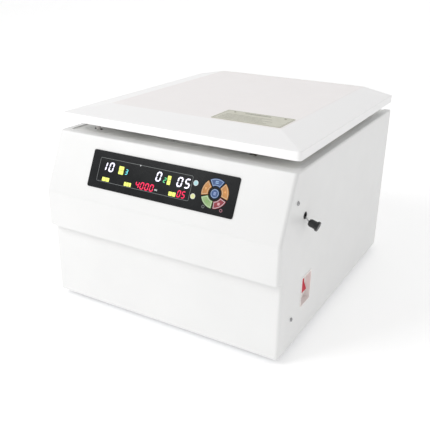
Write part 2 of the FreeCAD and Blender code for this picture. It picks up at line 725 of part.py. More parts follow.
# ---------------------------------------------------------------- drive
def motor_plate():
    """Plate that carries the motor on its four rubber dampers."""
    half = DAMPER_OFFSET + DAMPER_RADIUS + PLATE_MARGIN
    plate = box(-half, half, CHAMBER_Y - half, CHAMBER_Y + half, DAMPER_HIGH, MOTOR_TOP)
    plate = rounded(plate, DAMPER_RADIUS, lambda e: runs_along(e, Z_AXIS))
    hole = upright(MOTOR_RADIUS + SLIDING_GAP, 0, CHAMBER_Y, 0, CASE_TOP)
    return plate.cut(hole)


def vibration_dampers():
    """Four waisted rubber blocks between the posts and the motor plate."""
    outline = [
        (0, DAMPER_LOW),
        (DAMPER_RADIUS, DAMPER_LOW),
        (DAMPER_RADIUS, DAMPER_LOW + DAMPER_RIM),
        (DAMPER_WAIST, (DAMPER_LOW + DAMPER_HIGH) / 2),
        (DAMPER_RADIUS, DAMPER_HIGH - DAMPER_RIM),
        (DAMPER_RADIUS, DAMPER_HIGH),
        (0, DAMPER_HIGH),
    ]
    places = [(x, y) for x in (-1, 1) for y in (-1, 1)]
    return grouped(
        [revolved(outline, x * DAMPER_OFFSET, CHAMBER_Y + y * DAMPER_OFFSET) for x, y in places]
    )


def motor_can():
    """Motor case with its wound core."""
    return tube(
        MOTOR_RADIUS, MOTOR_BORE, Vector(0, CHAMBER_Y, MOTOR_LOW), Vector(0, CHAMBER_Y, MOTOR_TOP)
    )


def motor_end_caps():
    """Lower cap, and upper flange with the long bearing boss."""
    low = MOTOR_LOW - MOTOR_CAP
    lower = upright(MOTOR_RADIUS, 0, CHAMBER_Y, low, MOTOR_LOW)
    lower = lower.cut(upright(BEARING_RADIUS, 0, CHAMBER_Y, low + MOTOR_CAP_FLOOR, MOTOR_LOW))
    flange = upright(MOTOR_FLANGE, 0, CHAMBER_Y, MOTOR_TOP, MOTOR_TOP + MOTOR_CAP)
    boss = upright(BOSS_RADIUS, 0, CHAMBER_Y, MOTOR_TOP, BOSS_TOP)
    seat = BOSS_TOP - BEARING_DEPTH
    upper = without(
        joined([flange, boss]),
        [
            upright(SHAFT_RADIUS + SHAFT_HOLE_GAP, 0, CHAMBER_Y, MOTOR_TOP - PAST, BOSS_TOP + PAST),
            upright(BEARING_RADIUS, 0, CHAMBER_Y, seat, BOSS_TOP - MOTOR_CAP_FLOOR),
        ],
    )
    return grouped([lower, upper])


def motor_bearings():
    """Two ball bearings, drawn as plain rings."""
    levels = [
        (MOTOR_LOW - MOTOR_CAP + MOTOR_CAP_FLOOR, MOTOR_LOW),
        (BOSS_TOP - BEARING_DEPTH, BOSS_TOP - MOTOR_CAP_FLOOR),
    ]
    bore = SHAFT_RADIUS + RUNNING_GAP
    return grouped(
        [
            tube(BEARING_RADIUS, bore, Vector(0, CHAMBER_Y, low), Vector(0, CHAMBER_Y, high))
            for low, high in levels
        ]
    )


def shaft_boot():
    """Rubber boot that closes the bowl's shaft hole around the motor boss."""
    hole = BOOT_RADIUS - BOOT_GRIP
    under = CHAMBER_FLOOR - BOWL_WALL
    collar = BOSS_RADIUS + BOOT_WALL
    outline = [
        (BOSS_RADIUS, BOSS_TOP - 4 * BOOT_WALL),
        (collar, BOSS_TOP - 4 * BOOT_WALL),
        (collar, BOSS_TOP - BOOT_WALL / 2),
        (hole - BOOT_WALL, under - BOOT_WALL),
        (BOOT_RADIUS, under - BOOT_WALL),
        (BOOT_RADIUS, under),
        (hole, under),
        (hole, CHAMBER_FLOOR),
        (BOOT_RADIUS, CHAMBER_FLOOR),
        (BOOT_RADIUS, CHAMBER_FLOOR + BOOT_WALL),
        (hole - BOOT_WALL, CHAMBER_FLOOR + BOOT_WALL),
        (hole - 2 * BOOT_WALL, under),
        (BOSS_RADIUS + BOOT_WALL / 2, BOSS_TOP + BOOT_WALL),
        (BOSS_RADIUS, BOSS_TOP + BOOT_WALL),
    ]
    return revolved(outline, 0, CHAMBER_Y)


def motor_shaft():
    """Long shaft from the lower bearing up through the rotor hub."""
    high = HUB_HIGH + SHAFT_PAST_HUB
    shaft = upright(SHAFT_RADIUS, 0, CHAMBER_Y, MOTOR_LOW - SHAFT_START, high)
    return chamfered(shaft, SHAFT_CHAMFER, lambda e: near(middle(e).z, high))


def motor_magnet():
    """Magnet rotor on the shaft inside the motor."""
    return tube(
        MOTOR_BORE - MAGNET_GAP,
        SHAFT_RADIUS,
        Vector(0, CHAMBER_Y, MAGNET_LOW),
        Vector(0, CHAMBER_Y, MAGNET_HIGH),
    )


# ---------------------------------------------------------------- swing-out rotor
def yoke_plate(low, high):
    """Eight-cornered plate between two levels."""
    reach, corner = YOKE_REACH, YOKE_CORNER
    outline = [
        (reach, corner),
        (corner, reach),
        (-corner, reach),
        (-reach, corner),
        (-reach, -corner),
        (-corner, -reach),
        (corner, -reach),
        (reach, -corner),
    ]
    plate = plan_prism([(x, CHAMBER_Y + y) for x, y in outline], low, high)
    return rounded(plate, YOKE_CORNER_RADIUS, lambda e: runs_along(e, Z_AXIS))


def rotor_yoke():
    """Cross-shaped yoke with four slots that the buckets swing in."""
    low = TRUNNION_LEVEL - YOKE_THICKNESS / 2
    high = TRUNNION_LEVEL + YOKE_THICKNESS / 2
    slot_end = TRUNNION_RADIUS - BUCKET_RADIUS - SLOT_END_GAP
    slot = box(
        slot_end,
        YOKE_REACH + PAST,
        CHAMBER_Y - SLOT_HALF,
        CHAMBER_Y + SLOT_HALF,
        low - PAST,
        high + PAST,
    )
    slot = rounded(
        slot, YOKE_CORNER_RADIUS, lambda e: runs_along(e, Z_AXIS) and near(middle(e).x, slot_end)
    )
    place = (YOKE_REACH + YOKE_CORNER) / 2 - YOKE_HOLE_INSET
    pocket = upright(YOKE_HOLE_RADIUS, place, CHAMBER_Y + place, low - PAST, high + PAST)
    cutters = []
    for n in range(BUCKETS):
        cutters += [turned(piece, n * BUCKET_TURN) for piece in [slot, pocket] + trunnion_pair()]
    yoke = without(yoke_plate(low, high), cutters)
    centre = Vector(0, CHAMBER_Y, high)
    yoke = chamfered(
        yoke,
        YOKE_CHAMFER,
        lambda e: near(middle(e).z, high) and middle(e).distanceToPoint(centre) > HUB_RADIUS,
    )
    hub = upright(HUB_RADIUS, 0, CHAMBER_Y, HUB_LOW, HUB_HIGH)
    hub = chamfered(hub, HUB_CHAMFER, lambda e: near(middle(e).z, HUB_HIGH) or near(middle(e).z, HUB_LOW))
    bore = upright(SHAFT_RADIUS, 0, CHAMBER_Y, HUB_LOW - PAST, HUB_HIGH + PAST)
    return joined([yoke, hub]).cut(bore)


def trunnion_pair():
    """The two pins of the bucket on the +X side."""
    inner, outer = BUCKET_RADIUS + TRUNNION_GAP, SLOT_HALF + TRUNNION_HOLD
    pins = []
    for side in (-1, 1):
        start = Vector(TRUNNION_RADIUS, CHAMBER_Y + side * inner, TRUNNION_LEVEL)
        end = Vector(TRUNNION_RADIUS, CHAMBER_Y + side * outer, TRUNNION_LEVEL)
        pins.append(rod(TRUNNION_PIN, start, end))
    return pins


def trunnion_pins():
    """Eight pins, two for each bucket, pressed into the yoke."""
    pins = []
    for n in range(BUCKETS):
        pins += [turned(pin, n * BUCKET_TURN) for pin in trunnion_pair()]
    return grouped(pins)


def rotor_nut():
    """Fluted hand nut that holds the yoke on the shaft."""
    low, high = HUB_HIGH, HUB_HIGH + NUT_HEIGHT
    nut = upright(NUT_RADIUS, 0, CHAMBER_Y, low, high)
    nut = rounded(nut, NUT_EDGE_RADIUS, lambda e: near(middle(e).z, high))
    flute_place = NUT_RADIUS + NUT_FLUTE_OFFSET
    flute = upright(NUT_FLUTE_RADIUS, flute_place, CHAMBER_Y, low + NUT_FLUTE_START, high + PAST)
    cutters = [turned(flute, n * 360.0 / NUT_FLUTES) for n in range(NUT_FLUTES)]
    cutters.append(upright(SHAFT_RADIUS, 0, CHAMBER_Y, low - PAST, HUB_HIGH + SHAFT_PAST_HUB))
    return without(nut, cutters)


def pin_notches():
    """Cutters for the hooks: round over each pin and open downwards."""
    x, y = TRUNNION_RADIUS, CHAMBER_Y
    rim = TRUNNION_LEVEL + BUCKET_ABOVE
    radius = TRUNNION_PIN + SLIDING_GAP
    cutters = []
    for side in (-1, 1):
        inner = y + side * (BUCKET_RADIUS + BUCKET_COLLAR_STEP)
        outer = y + side * (SLOT_HALF + PAST)
        near_side, far_side = min(inner, outer), max(inner, outer)
        cutters.append(rod(radius, Vector(x, inner, TRUNNION_LEVEL), Vector(x, outer, TRUNNION_LEVEL)))
        cutters.append(
            box(x - radius, x + radius, near_side, far_side, rim - NOTCH_FOOT, TRUNNION_LEVEL)
        )
    return cutters


def bucket():
    """Steel cup on the +X side, hanging from hooked ears over its two pins."""
    foot = TRUNNION_LEVEL - BUCKET_BELOW
    rim = TRUNNION_LEVEL + BUCKET_ABOVE
    x, y = TRUNNION_RADIUS, CHAMBER_Y
    cup = upright(BUCKET_RADIUS - BUCKET_COLLAR_STEP, x, y, foot, rim)
    cup = rounded(cup, BUCKET_FOOT_RADIUS, lambda e: near(middle(e).z, foot))
    collar = upright(BUCKET_RADIUS, x, y, rim - BUCKET_COLLAR, rim)
    collar = chamfered(collar, BUCKET_COLLAR_STEP, lambda e: near(middle(e).z, rim))
    reach = SLOT_HALF - EAR_GAP
    ears = box(x - EAR_HALF, x + EAR_HALF, y - reach, y + reach, rim - EAR_FOOT, rim - EAR_TOP)
    ears = rounded(ears, EAR_CORNER_RADIUS, lambda e: runs_along(e, Y_AXIS))
    bore = upright(BUCKET_BORE, x, y, foot + BUCKET_FLOOR, rim + PAST)
    return without(joined([cup, collar, ears]), [bore] + pin_notches())


def cushion():
    """Rubber pad with a round seat in the foot of the bucket on the +X side."""
    floor = TRUNNION_LEVEL - BUCKET_BELOW + BUCKET_FLOOR
    top = floor + CUSHION_HEIGHT
    pad = upright(BUCKET_BORE - CUSHION_GAP, TRUNNION_RADIUS, CHAMBER_Y, floor, top)
    centre = Vector(TRUNNION_RADIUS, CHAMBER_Y, top + CUSHION_SEAT_RADIUS - CUSHION_SEAT_DEPTH)
    return pad.cut(Part.makeSphere(CUSHION_SEAT_RADIUS, centre))


# ---------------------------------------------------------------- lid
def lid_block(inset):
    """The lid as a solid with sloping borders on three sides, moved inwards by inset."""
    half = LID_WIDTH / 2 - inset
    front, back = LID_FRONT + inset, LID_BACK - inset
    top = LID_TOP - inset
    bottom = LID_BOTTOM if inset == 0 else LID_BOTTOM - PAST
    block = box(-half, half, front, back, bottom, top)
    block = rounded(
        block, LID_CORNER_RADIUS - inset, lambda e: runs_along(e, Z_AXIS) and middle(e).y < 0
    )
    far = LID_RISE

    def border(width):
        """Cutter outline, as (distance in from the edge, level), for a border this wide."""
        slope = LID_RISE / width
        drop = inset * math.sqrt(1 + slope * slope)
        start, end = -far, width + far / slope
        return [
            (start, LID_SHOULDER + slope * start - drop),
            (end, LID_SHOULDER + slope * end - drop),
            (start, LID_SHOULDER + slope * end - drop),
        ]

    side = border(LID_SIDE_BORDER)
    front_cut = border(LID_FRONT_BORDER)
    left = prism(
        [Vector(-LID_WIDTH / 2 + u, LID_FRONT - far, v) for u, v in side],
        Vector(0, LID_BACK - LID_FRONT + 2 * far, 0),
    )
    ahead = prism(
        [Vector(-LID_WIDTH / 2 - far, LID_FRONT + u, v) for u, v in front_cut],
        Vector(LID_WIDTH + 2 * far, 0, 0),
    )
    return without(block, [left, mirrored(left), ahead])


def lid_shell():
    """Painted sheet-metal lid: upright skirt, three sloping borders and a flat top."""
    rivet_holes = [upright(RIVET_SHANK, x, y, LID_TOP - SHEET - PAST, LID_TOP + PAST) for x, y in RIVETS]

    def is_fold(edge):
        """True for the folds around the flat top and up the two hips."""
        point = middle(edge)
        return point.z > LID_SHOULDER + LID_SHOULDER_RADIUS and point.y < LID_BACK - SHEET

    def is_shoulder(edge):
        """True for the edges between the skirt and the sloping borders."""
        point = middle(edge)
        on_level = abs(point.z - LID_SHOULDER) < LID_SHOULDER_RADIUS
        return on_level and point.y < LID_BACK - SHEET and not runs_along(edge, Z_AXIS)

    shell = rounded(lid_block(0), LID_FOLD_RADIUS, is_fold)
    shell = rounded(shell, LID_SHOULDER_RADIUS, is_shoulder)
    return without(shell, [lid_block(SHEET)] + rivet_holes)


def lid_liner():
    """Flat inner panel that closes the lid from below."""
    margin = SHEET + LINER_RECESS
    half = LID_WIDTH / 2 - margin
    top = LINER_UNDER + LINER_THICKNESS
    liner = box(-half, half, LID_FRONT + margin, LID_BACK - margin, LINER_UNDER, top)
    return rounded(
        liner, LID_CORNER_RADIUS - margin, lambda e: runs_along(e, Z_AXIS) and middle(e).y < 0
    )


def lid_striker():
    """Plate under the lid, with the window that the lock bolt enters."""
    half = STRIKER_THICKNESS / 2
    front, back = LOCK_Y - STRIKER_WIDTH / 2, LOCK_Y + STRIKER_WIDTH / 2
    blade = box(LOCK_X - half, LOCK_X + half, front, back, STRIKER_LOW, LINER_UNDER)
    blade = rounded(
        blade, STRIKER_CORNER_RADIUS, lambda e: runs_along(e, X_AXIS) and near(middle(e).z, STRIKER_LOW)
    )
    foot = box(
        LOCK_X - STRIKER_FOOT_HALF,
        LOCK_X + STRIKER_FOOT_HALF,
        front,
        back,
        LINER_UNDER - STRIKER_FOOT_THICKNESS,
        LINER_UNDER,
    )
    window = bolt_bar(LOCK_X - half - PAST, LOCK_X + half + PAST, BOLT_HALF + BOLT_WINDOW_GAP)
    return joined([blade, foot]).cut(window)


def striker_slot(low, high):
    """Cutter for the slot that the striker drops into, between two levels."""
    return box(
        LOCK_X - STRIKER_SLOT_HALF_X,
        LOCK_X + STRIKER_SLOT_HALF_X,
        LOCK_Y - STRIKER_SLOT_HALF_Y,
        LOCK_Y + STRIKER_SLOT_HALF_Y,
        low,
        high,
    )


def bolt_bar(start, end, half):
    """Square bar along X at the bolt's level."""
    return box(start, end, LOCK_Y - half, LOCK_Y + half, BOLT_LEVEL - half, BOLT_LEVEL + half)


def lid_label():
    """Thin metal plate on the flat of the lid."""
    plate = box(*LABEL, LID_TOP, LID_TOP + LABEL_THICKNESS)
    plate = rounded(plate, LABEL_CORNER_RADIUS, lambda e: runs_along(e, Z_AXIS))
    holes = [upright(RIVET_SHANK, x, y, LID_TOP - PAST, LID_TOP + LABEL_THICKNESS + PAST) for x, y in RIVETS]
    return without(plate, holes)


def label_rivets():
    """Two round-headed rivets."""
    rivets = []
    low = LID_TOP + LABEL_THICKNESS
    for x, y in RIVETS:
        ball = Part.makeSphere(RIVET_HEAD, Vector(x, y, low - RIVET_HEAD * RIVET_SINK))
        reach = 2 * RIVET_HEAD
        head = ball.common(box(x - reach, x + reach, y - reach, y + reach, low, low + reach))
        shank = upright(RIVET_SHANK, x, y, LID_TOP - SHEET, low + LABEL_THICKNESS / 2)
        rivets.append(joined([head, shank]))
    return grouped(rivets)


def hinge_leaf(x, low, high):
    """Flat part of a hinge half between two levels."""
    plate = box(x - HINGE_HALF, x + HINGE_HALF, LEAF_FRONT, HINGE_Y - LEAF_BACK_GAP, low, high)
    return rounded(
        plate, LEAF_CORNER_RADIUS, lambda e: runs_along(e, Z_AXIS) and near(middle(e).y, LEAF_FRONT)
    )


def hinge_deck_leaves():
    """Two fixed hinge halves on the deck, each with two outer knuckles."""
    leaves = []
    web_front = HINGE_Y - HINGE_BARREL - HINGE_WEB
    for x in HINGE_XS:
        pieces = [hinge_leaf(x, DECK_TOP, DECK_TOP + LEAF_THICKNESS)]
        cutters = []
        for side in (-1, 1):
            ends = sorted((x + side * (HINGE_KNUCKLE + HINGE_GAP), x + side * HINGE_HALF))
            start, end = [Vector(at, HINGE_Y, HINGE_Z) for at in ends]
            pieces.append(rod(HINGE_BARREL, start, end))
            pieces.append(box(*ends, web_front, HINGE_Y, DECK_TOP, HINGE_Z - LEAF_BACK_GAP))
            cutters.append(rod(HINGE_PIN + RUNNING_GAP, start, end))
        leaves.append(without(joined(pieces), cutters))
    return grouped(leaves)


def hinge_lid_leaves():
    """Two hinge halves under the lid, each with the middle knuckle."""
    leaves = []
    web_front = HINGE_Y - HINGE_BARREL - HINGE_WEB
    for x in HINGE_XS:
        plate = hinge_leaf(x, LINER_UNDER - LEAF_THICKNESS, LINER_UNDER)
        ends = (x - HINGE_KNUCKLE, x + HINGE_KNUCKLE)
        start, end = [Vector(at, HINGE_Y, HINGE_Z) for at in ends]
        web = box(*ends, web_front, HINGE_Y, HINGE_Z + LEAF_BACK_GAP, LINER_UNDER)
        knuckle = rod(HINGE_BARREL, start, end)
        leaves.append(joined([plate, knuckle, web]).cut(rod(HINGE_PIN, start, end)))
    return grouped(leaves)


def hinge_pins():
    """Two hinge pins, held by the lid's knuckles."""
    return grouped(
        [
            rod(
                HINGE_PIN,
                Vector(x - HINGE_HALF, HINGE_Y, HINGE_Z),
                Vector(x + HINGE_HALF, HINGE_Y, HINGE_Z),
            )
            for x in HINGE_XS
        ]
    )


# ---------------------------------------------------------------- lid lock and lid switch
def lock_body():
    """Lock case under the deck: a pocket for the striker and a guide for the bolt."""
    case = box(
        LOCK_X - LOCK_LEFT,
        LOCK_X + LOCK_RIGHT,
        LOCK_Y - STRIKER_SLOT_HALF_Y - LOCK_WALL,
        LOCK_Y + STRIKER_SLOT_HALF_Y + LOCK_WALL,
        LOCK_LOW,
        DECK_UNDER,
    )
    solenoid = rod(
        SOLENOID_RADIUS,
        Vector(LOCK_X + LOCK_RIGHT - PAST, LOCK_Y, BOLT_LEVEL),
        Vector(LOCK_X + BOLT_END + SOLENOID_PAST_BOLT, LOCK_Y, BOLT_LEVEL),
    )
    pocket = striker_slot(LOCK_LOW + LOCK_FLOOR, DECK_UNDER + PAST)
    guide = bolt_bar(LOCK_X - GUIDE_LEFT, LOCK_X + BOLT_END + GUIDE_PAST_BOLT, BOLT_HALF + SLIDING_GAP)
    return without(joined([case, solenoid]), [pocket, guide])


def lock_bolt():
    """Square bolt, drawn back as when the lid is free to open."""
    start = LOCK_X + BOLT_START
    bolt = bolt_bar(start, LOCK_X + BOLT_END, BOLT_HALF)
    return chamfered(bolt, BOLT_CHAMFER, lambda e: near(middle(e).x, start))


def lid_switch_bushing():
    """Switch case under the deck, with the white sleeve that guides its plunger."""
    x, y = LID_SWITCH
    half_width, half_depth, height = LID_SWITCH_CASE
    top = DECK_TOP + LID_SWITCH_SLEEVE_HEIGHT
    case = box(
        x - half_width, x + half_width, y - half_depth, y + half_depth, DECK_UNDER - height, DECK_UNDER
    )
    neck = upright(LID_SWITCH_NECK, x, y, DECK_UNDER - PAST, DECK_TOP)
    sleeve = upright(LID_SWITCH_SLEEVE, x, y, DECK_TOP, top)
    sleeve = chamfered(sleeve, SWITCH_RIM_RADIUS, lambda e: near(middle(e).z, top))
    bore = upright(PLUNGER_RADIUS + RUNNING_GAP, x, y, DECK_UNDER - LID_SWITCH_BORE_DEPTH, top + PAST)
    return joined([case, neck, sleeve]).cut(bore)


def lid_switch_plunger():
    """Plunger that the lid pushes down as it closes."""
    top = LINER_UNDER - LID_CLEARANCE
    plunger = upright(PLUNGER_RADIUS, *LID_SWITCH, DECK_UNDER - PLUNGER_DEPTH, top)
    return rounded(plunger, PLUNGER_END_RADIUS, lambda e: near(middle(e).z, top))


# ---------------------------------------------------------------- control panel
def key_segment(grow, low, high):
    """Ring segment on the +X side of the key ring, drawn flat, with every side moved out by grow."""
    cx, cy = KEY_RING
    outer, inner = KEY_OUTER + grow, KEY_INNER - grow
    half = math.radians((360.0 / KEY_COUNT - KEY_GAP_ANGLE) / 2)

    def corner(radius, side):
        """End of an arc, shifted so that the gap between segments keeps its width."""
        shift = side * grow
        x = cx + radius * math.cos(half) - abs(shift) * math.sin(half)
        y = cy + side * radius * math.sin(half) + shift * math.cos(half)
        return Vector(x, y, low)

    edges = [
        Part.Arc(corner(outer, -1), Vector(cx + outer, cy, low), corner(outer, 1)).toShape(),
        Part.LineSegment(corner(outer, 1), corner(inner, 1)).toShape(),
        Part.Arc(corner(inner, 1), Vector(cx + inner, cy, low), corner(inner, -1)).toShape(),
        Part.LineSegment(corner(inner, -1), corner(outer, -1)).toShape(),
    ]
    return Part.Face(Part.Wire(edges)).extrude(Vector(0, 0, high - low))


def around_key_ring(shape, angle):
    """A copy turned about the middle of the key ring."""
    copy = shape.copy()
    copy.rotate(Vector(*KEY_RING, 0), Z_AXIS, angle)
    return copy


def key_cap(name):
    """One ring key, drawn flat."""
    top = PANEL_THICKNESS + KEY_PROUD
    cap = key_segment(0, KEY_BACK, top)
    cap = rounded(cap, KEY_EDGE_RADIUS, lambda e: near(middle(e).z, top))
    return around_key_ring(cap, KEY_ANGLES[name])


def key_centre():
    """Round key in the middle of the ring, drawn flat."""
    top = PANEL_THICKNESS + KEY_PROUD
    cap = upright(KEY_CENTRE_RADIUS, *KEY_RING, KEY_BACK, top)
    return rounded(cap, KEY_CENTRE_EDGE_RADIUS, lambda e: near(middle(e).z, top))


def control_panel():
    """Black panel cover with openings for the six keys."""
    cover = box(-PANEL_HALF_WIDTH, PANEL_HALF_WIDTH, PANEL_LOW, PANEL_HIGH, 0, PANEL_THICKNESS)
    cover = rounded(cover, PANEL_CORNER_RADIUS, lambda e: runs_along(e, Z_AXIS))
    cover = rounded(cover, PANEL_EDGE_RADIUS, lambda e: near(middle(e).z, PANEL_THICKNESS))
    high = PANEL_THICKNESS + PAST
    cutters = [upright(KEY_CENTRE_RADIUS + KEY_CLEARANCE, *KEY_RING, -PAST, high)]
    opening = key_segment(KEY_CLEARANCE, -PAST, high)
    cutters += [around_key_ring(opening, angle) for angle in KEY_ANGLES.values()]
    return without(cover, cutters)


def display_board():
    """Circuit board behind the panel, with a push switch under each key."""
    board = box(
        BOARD_LEFT, BOARD_RIGHT, PANEL_LOW + BOARD_EDGE, PANEL_HIGH - BOARD_EDGE, BOARD_BACK, BOARD_FRONT
    )
    cx, cy = KEY_RING
    middle_radius = (KEY_OUTER + KEY_INNER) / 2
    spots = [(cx, cy)]
    for angle in KEY_ANGLES.values():
        turn = math.radians(angle)
        spots.append((cx + middle_radius * math.cos(turn), cy + middle_radius * math.sin(turn)))
    pieces = [board]
    for x, y in spots:
        sides = (x - BUTTON_HALF, x + BUTTON_HALF, y - BUTTON_HALF, y + BUTTON_HALF)
        pieces.append(box(*sides, BOARD_FRONT, BUTTON_TOP))
        pieces.append(upright(STEM_RADIUS, x, y, BOARD_FRONT, KEY_BACK - STEM_GAP))
    return joined(pieces)


def digit_modules():
    """Numeral lamp blocks on the board, close behind the panel's window."""
    return grouped([box(x0, x1, y0, y1, BOARD_FRONT, DIGIT_TOP) for x0, x1, y0, y1 in DIGIT_BLOCKS])


# ---------------------------------------------------------------- power switch
def switch_block(inset, x0, x1):
    """Block with the switch's outline moved inwards by inset, between two distances from the middle."""
    half_w, half_h = SWITCH_WIDTH / 2 - inset, SWITCH_HEIGHT / 2 - inset
    block = box(x0, x1, SWITCH_Y - half_w, SWITCH_Y + half_w, SWITCH_Z - half_h, SWITCH_Z + half_h)
    corner = SWITCH_CORNER_RADIUS - inset if inset < POCKET_CORNER_RADIUS / 2 else POCKET_CORNER_RADIUS / 2
    return rounded(block, corner, lambda e: runs_along(e, X_AXIS))


def around_rocker(half_width, half_height, x0, x1):
    """Block centred on the rocker's axis, between two distances from the middle."""
    return box(
        x0, x1, SWITCH_Y - half_width, SWITCH_Y + half_width, ROCKER_Z - half_height, ROCKER_Z + half_height
    )


def rocker_pins(radius, length):
    """Round bar on the rocker's axis, reaching this far out of each of its sides."""
    axis = Vector(ROCKER_X, SWITCH_Y, ROCKER_Z)
    reach = Y_AXIS * (ROCKER_HALF_WIDTH + length)
    return rod(radius, axis - reach, axis + reach)


def switch_body():
    """Pocket with a thin rim, a switch case behind its floor, and the well of the rocker."""
    rim_face = HALF_WIDTH + SWITCH_PROUD
    floor = HALF_WIDTH - POCKET_DEPTH
    under_floor = floor - POCKET_FLOOR
    back = HALF_WIDTH - SWITCH_CASE_DEPTH
    rim = switch_block(0, HALF_WIDTH, rim_face)
    rim = rounded(rim, SWITCH_RIM_RADIUS, lambda e: near(middle(e).x, rim_face))
    tub = switch_block(SWITCH_LAP, under_floor, HALF_WIDTH)
    case = around_rocker(SWITCH_CASE_HALF_WIDTH, SWITCH_CASE_HALF_HEIGHT, back, under_floor)
    terminals = [
        box(
            back - TERMINAL_LENGTH,
            back,
            SWITCH_Y + y - TERMINAL_HALF_WIDTH,
            SWITCH_Y + y + TERMINAL_HALF_WIDTH,
            SWITCH_Z + z - TERMINAL_HALF_THICKNESS,
            SWITCH_Z + z + TERMINAL_HALF_THICKNESS,
        )
        for y, z in TERMINALS
    ]
    pocket = switch_block(SWITCH_LAP + SWITCH_WALL, floor, rim_face + PAST)
    well = around_rocker(
        ROCKER_HALF_WIDTH + WELL_GAP, WELL_HALF_HEIGHT, HALF_WIDTH - WELL_DEPTH, floor + PAST
    )
    pins = rocker_pins(ROCKER_PIN_RADIUS + RUNNING_GAP, ROCKER_PIN_LENGTH + SLIDING_GAP)
    return without(joined([rim, tub, case] + terminals), [pocket, well, pins])


def rocker():
    """Shallow V-shaped rocker with its upper half pressed in, and a round stub on each side."""
    half = ROCKER_HALF_HEIGHT
    outline = [
        (ROCKER_REACH, half),
        (ROCKER_DIP, 0),
        (ROCKER_REACH, -half),
        (ROCKER_CHIN, -half),
        (ROCKER_BACK, -ROCKER_BACK_HALF),
        (ROCKER_BACK, ROCKER_BACK_HALF),
        (ROCKER_CHIN, half),
    ]
    points = [Vector(ROCKER_X + u, SWITCH_Y - ROCKER_HALF_WIDTH, ROCKER_Z + v) for u, v in outline]
    piece = prism(points, Vector(0, 2 * ROCKER_HALF_WIDTH, 0))
    piece = rounded(
        piece,
        ROCKER_EDGE_RADIUS,
        lambda e: middle(e).x > ROCKER_X + ROCKER_BACK_HALF and not near(middle(e).z, ROCKER_Z),
    )
    piece = joined([piece, rocker_pins(ROCKER_PIN_RADIUS, ROCKER_PIN_LENGTH)])
    piece.rotate(Vector(ROCKER_X, SWITCH_Y, ROCKER_Z), Y_AXIS, -ROCKER_TILT)
    return piece


# ---------------------------------------------------------------- emergency release
def release_grommet():
    """Black plastic bush in the side wall that the pull wire runs through."""
    start = Vector(HALF_WIDTH - SHEET - GROMMET_DEPTH, PULL_Y, PULL_Z)
    end = Vector(HALF_WIDTH + GROMMET_FLANGE_THICKNESS, PULL_Y, PULL_Z)
    sleeve = rod(PULL_HOLE_RADIUS, start, end)
    flange = rod(PULL_HOLE_RADIUS + GROMMET_FLANGE, Vector(HALF_WIDTH, PULL_Y, PULL_Z), end)
    bore = rod(PULL_HOLE_RADIUS - GROMMET_WALL, start - X_AXIS * PAST, end + X_AXIS * PAST)
    return joined([sleeve, flange]).cut(bore)


def release_wire():
    """Pull wire: straight inside the case, bent down just outside it, with a stop inside."""
    knob_x, knob_z = KNOB_START
    droop = math.radians(KNOB_DROOP)
    inner_end = Vector(WIRE_INNER_END, PULL_Y, WIRE_LEVEL)
    knob_face = Vector(knob_x, PULL_Y, knob_z)
    along_knob = Vector(math.cos(droop), 0, -math.sin(droop))
    points = [
        inner_end,
        Vector(WIRE_BEND_X, PULL_Y, WIRE_LEVEL),
        knob_face,
        knob_face + along_knob * KNOB_GRIP,
    ]
    pieces = [rod(WIRE_RADIUS, a, b) for a, b in zip(points, points[1:])]
    pieces += [Part.makeSphere(WIRE_RADIUS, bend) for bend in points[1:3]]
    pieces.append(rod(WIRE_STOP_RADIUS, inner_end, inner_end + X_AXIS * WIRE_STOP_LENGTH))
    return joined(pieces)


def release_knob():
    """Small black pull knob with a rounded shoulder and an end flange."""
    knob_x, knob_z = KNOB_START
    knob = revolved(KNOB_PROFILE)
    knob = knob.cut(upright(WIRE_RADIUS, 0, 0, -PAST, KNOB_GRIP))
    knob.rotate(Vector(0, 0, 0), Y_AXIS, 90 + KNOB_DROOP)
    knob.translate(Vector(knob_x, PULL_Y, knob_z))
    return knob


# ---------------------------------------------------------------- screws
def screw_at(place, outward, shank_radius):
    """Pan head and shank of one screw on a wall, whose head points outward."""
    head = rod(SCREW_HEAD, place, place + outward * SCREW_HEAD_HEIGHT)
    shank = rod(shank_radius, place - outward * SCREW_LENGTH, place + outward * SCREW_HEAD_HEIGHT / 2)
    return head, shank


def side_screw_shapes(shank_radius):
    """Heads and shanks of the screws on both sides."""
    shapes = []
    for y, z in SIDE_SCREWS:
        for side in (-1, 1):
            shapes.append(screw_at(Vector(side * HALF_WIDTH, y, z), X_AXIS * side, shank_radius))
    return shapes


def rear_screw_shapes(shank_radius):
    """Heads and shanks of the rear panel's and fan's screws."""
    places = list(REAR_SCREWS)
    offsets = (-FAN_SCREW_OFFSET, FAN_SCREW_OFFSET)
    places += [(FAN_X + a, FAN_Z + b) for a in offsets for b in offsets]
    return [screw_at(Vector(x, REAR, z), Y_AXIS, shank_radius) for x, z in places]


def cross_recess(face, outward):
    """Cutters for a cross recess in a screw head that ends at face."""
    across = Y_AXIS if abs(outward.x) > abs(outward.y) else X_AXIS
    base = face - outward * CROSS_DEPTH
    cutters = []
    for first, second in ((across, Z_AXIS), (Z_AXIS, across)):
        points = [
            base + first * CROSS_REACH * u + second * CROSS_HALF * v
            for u, v in ((1, 1), (-1, 1), (-1, -1), (1, -1))
        ]
        cutters.append(prism(points, outward * (CROSS_DEPTH + PAST)))
    return cutters


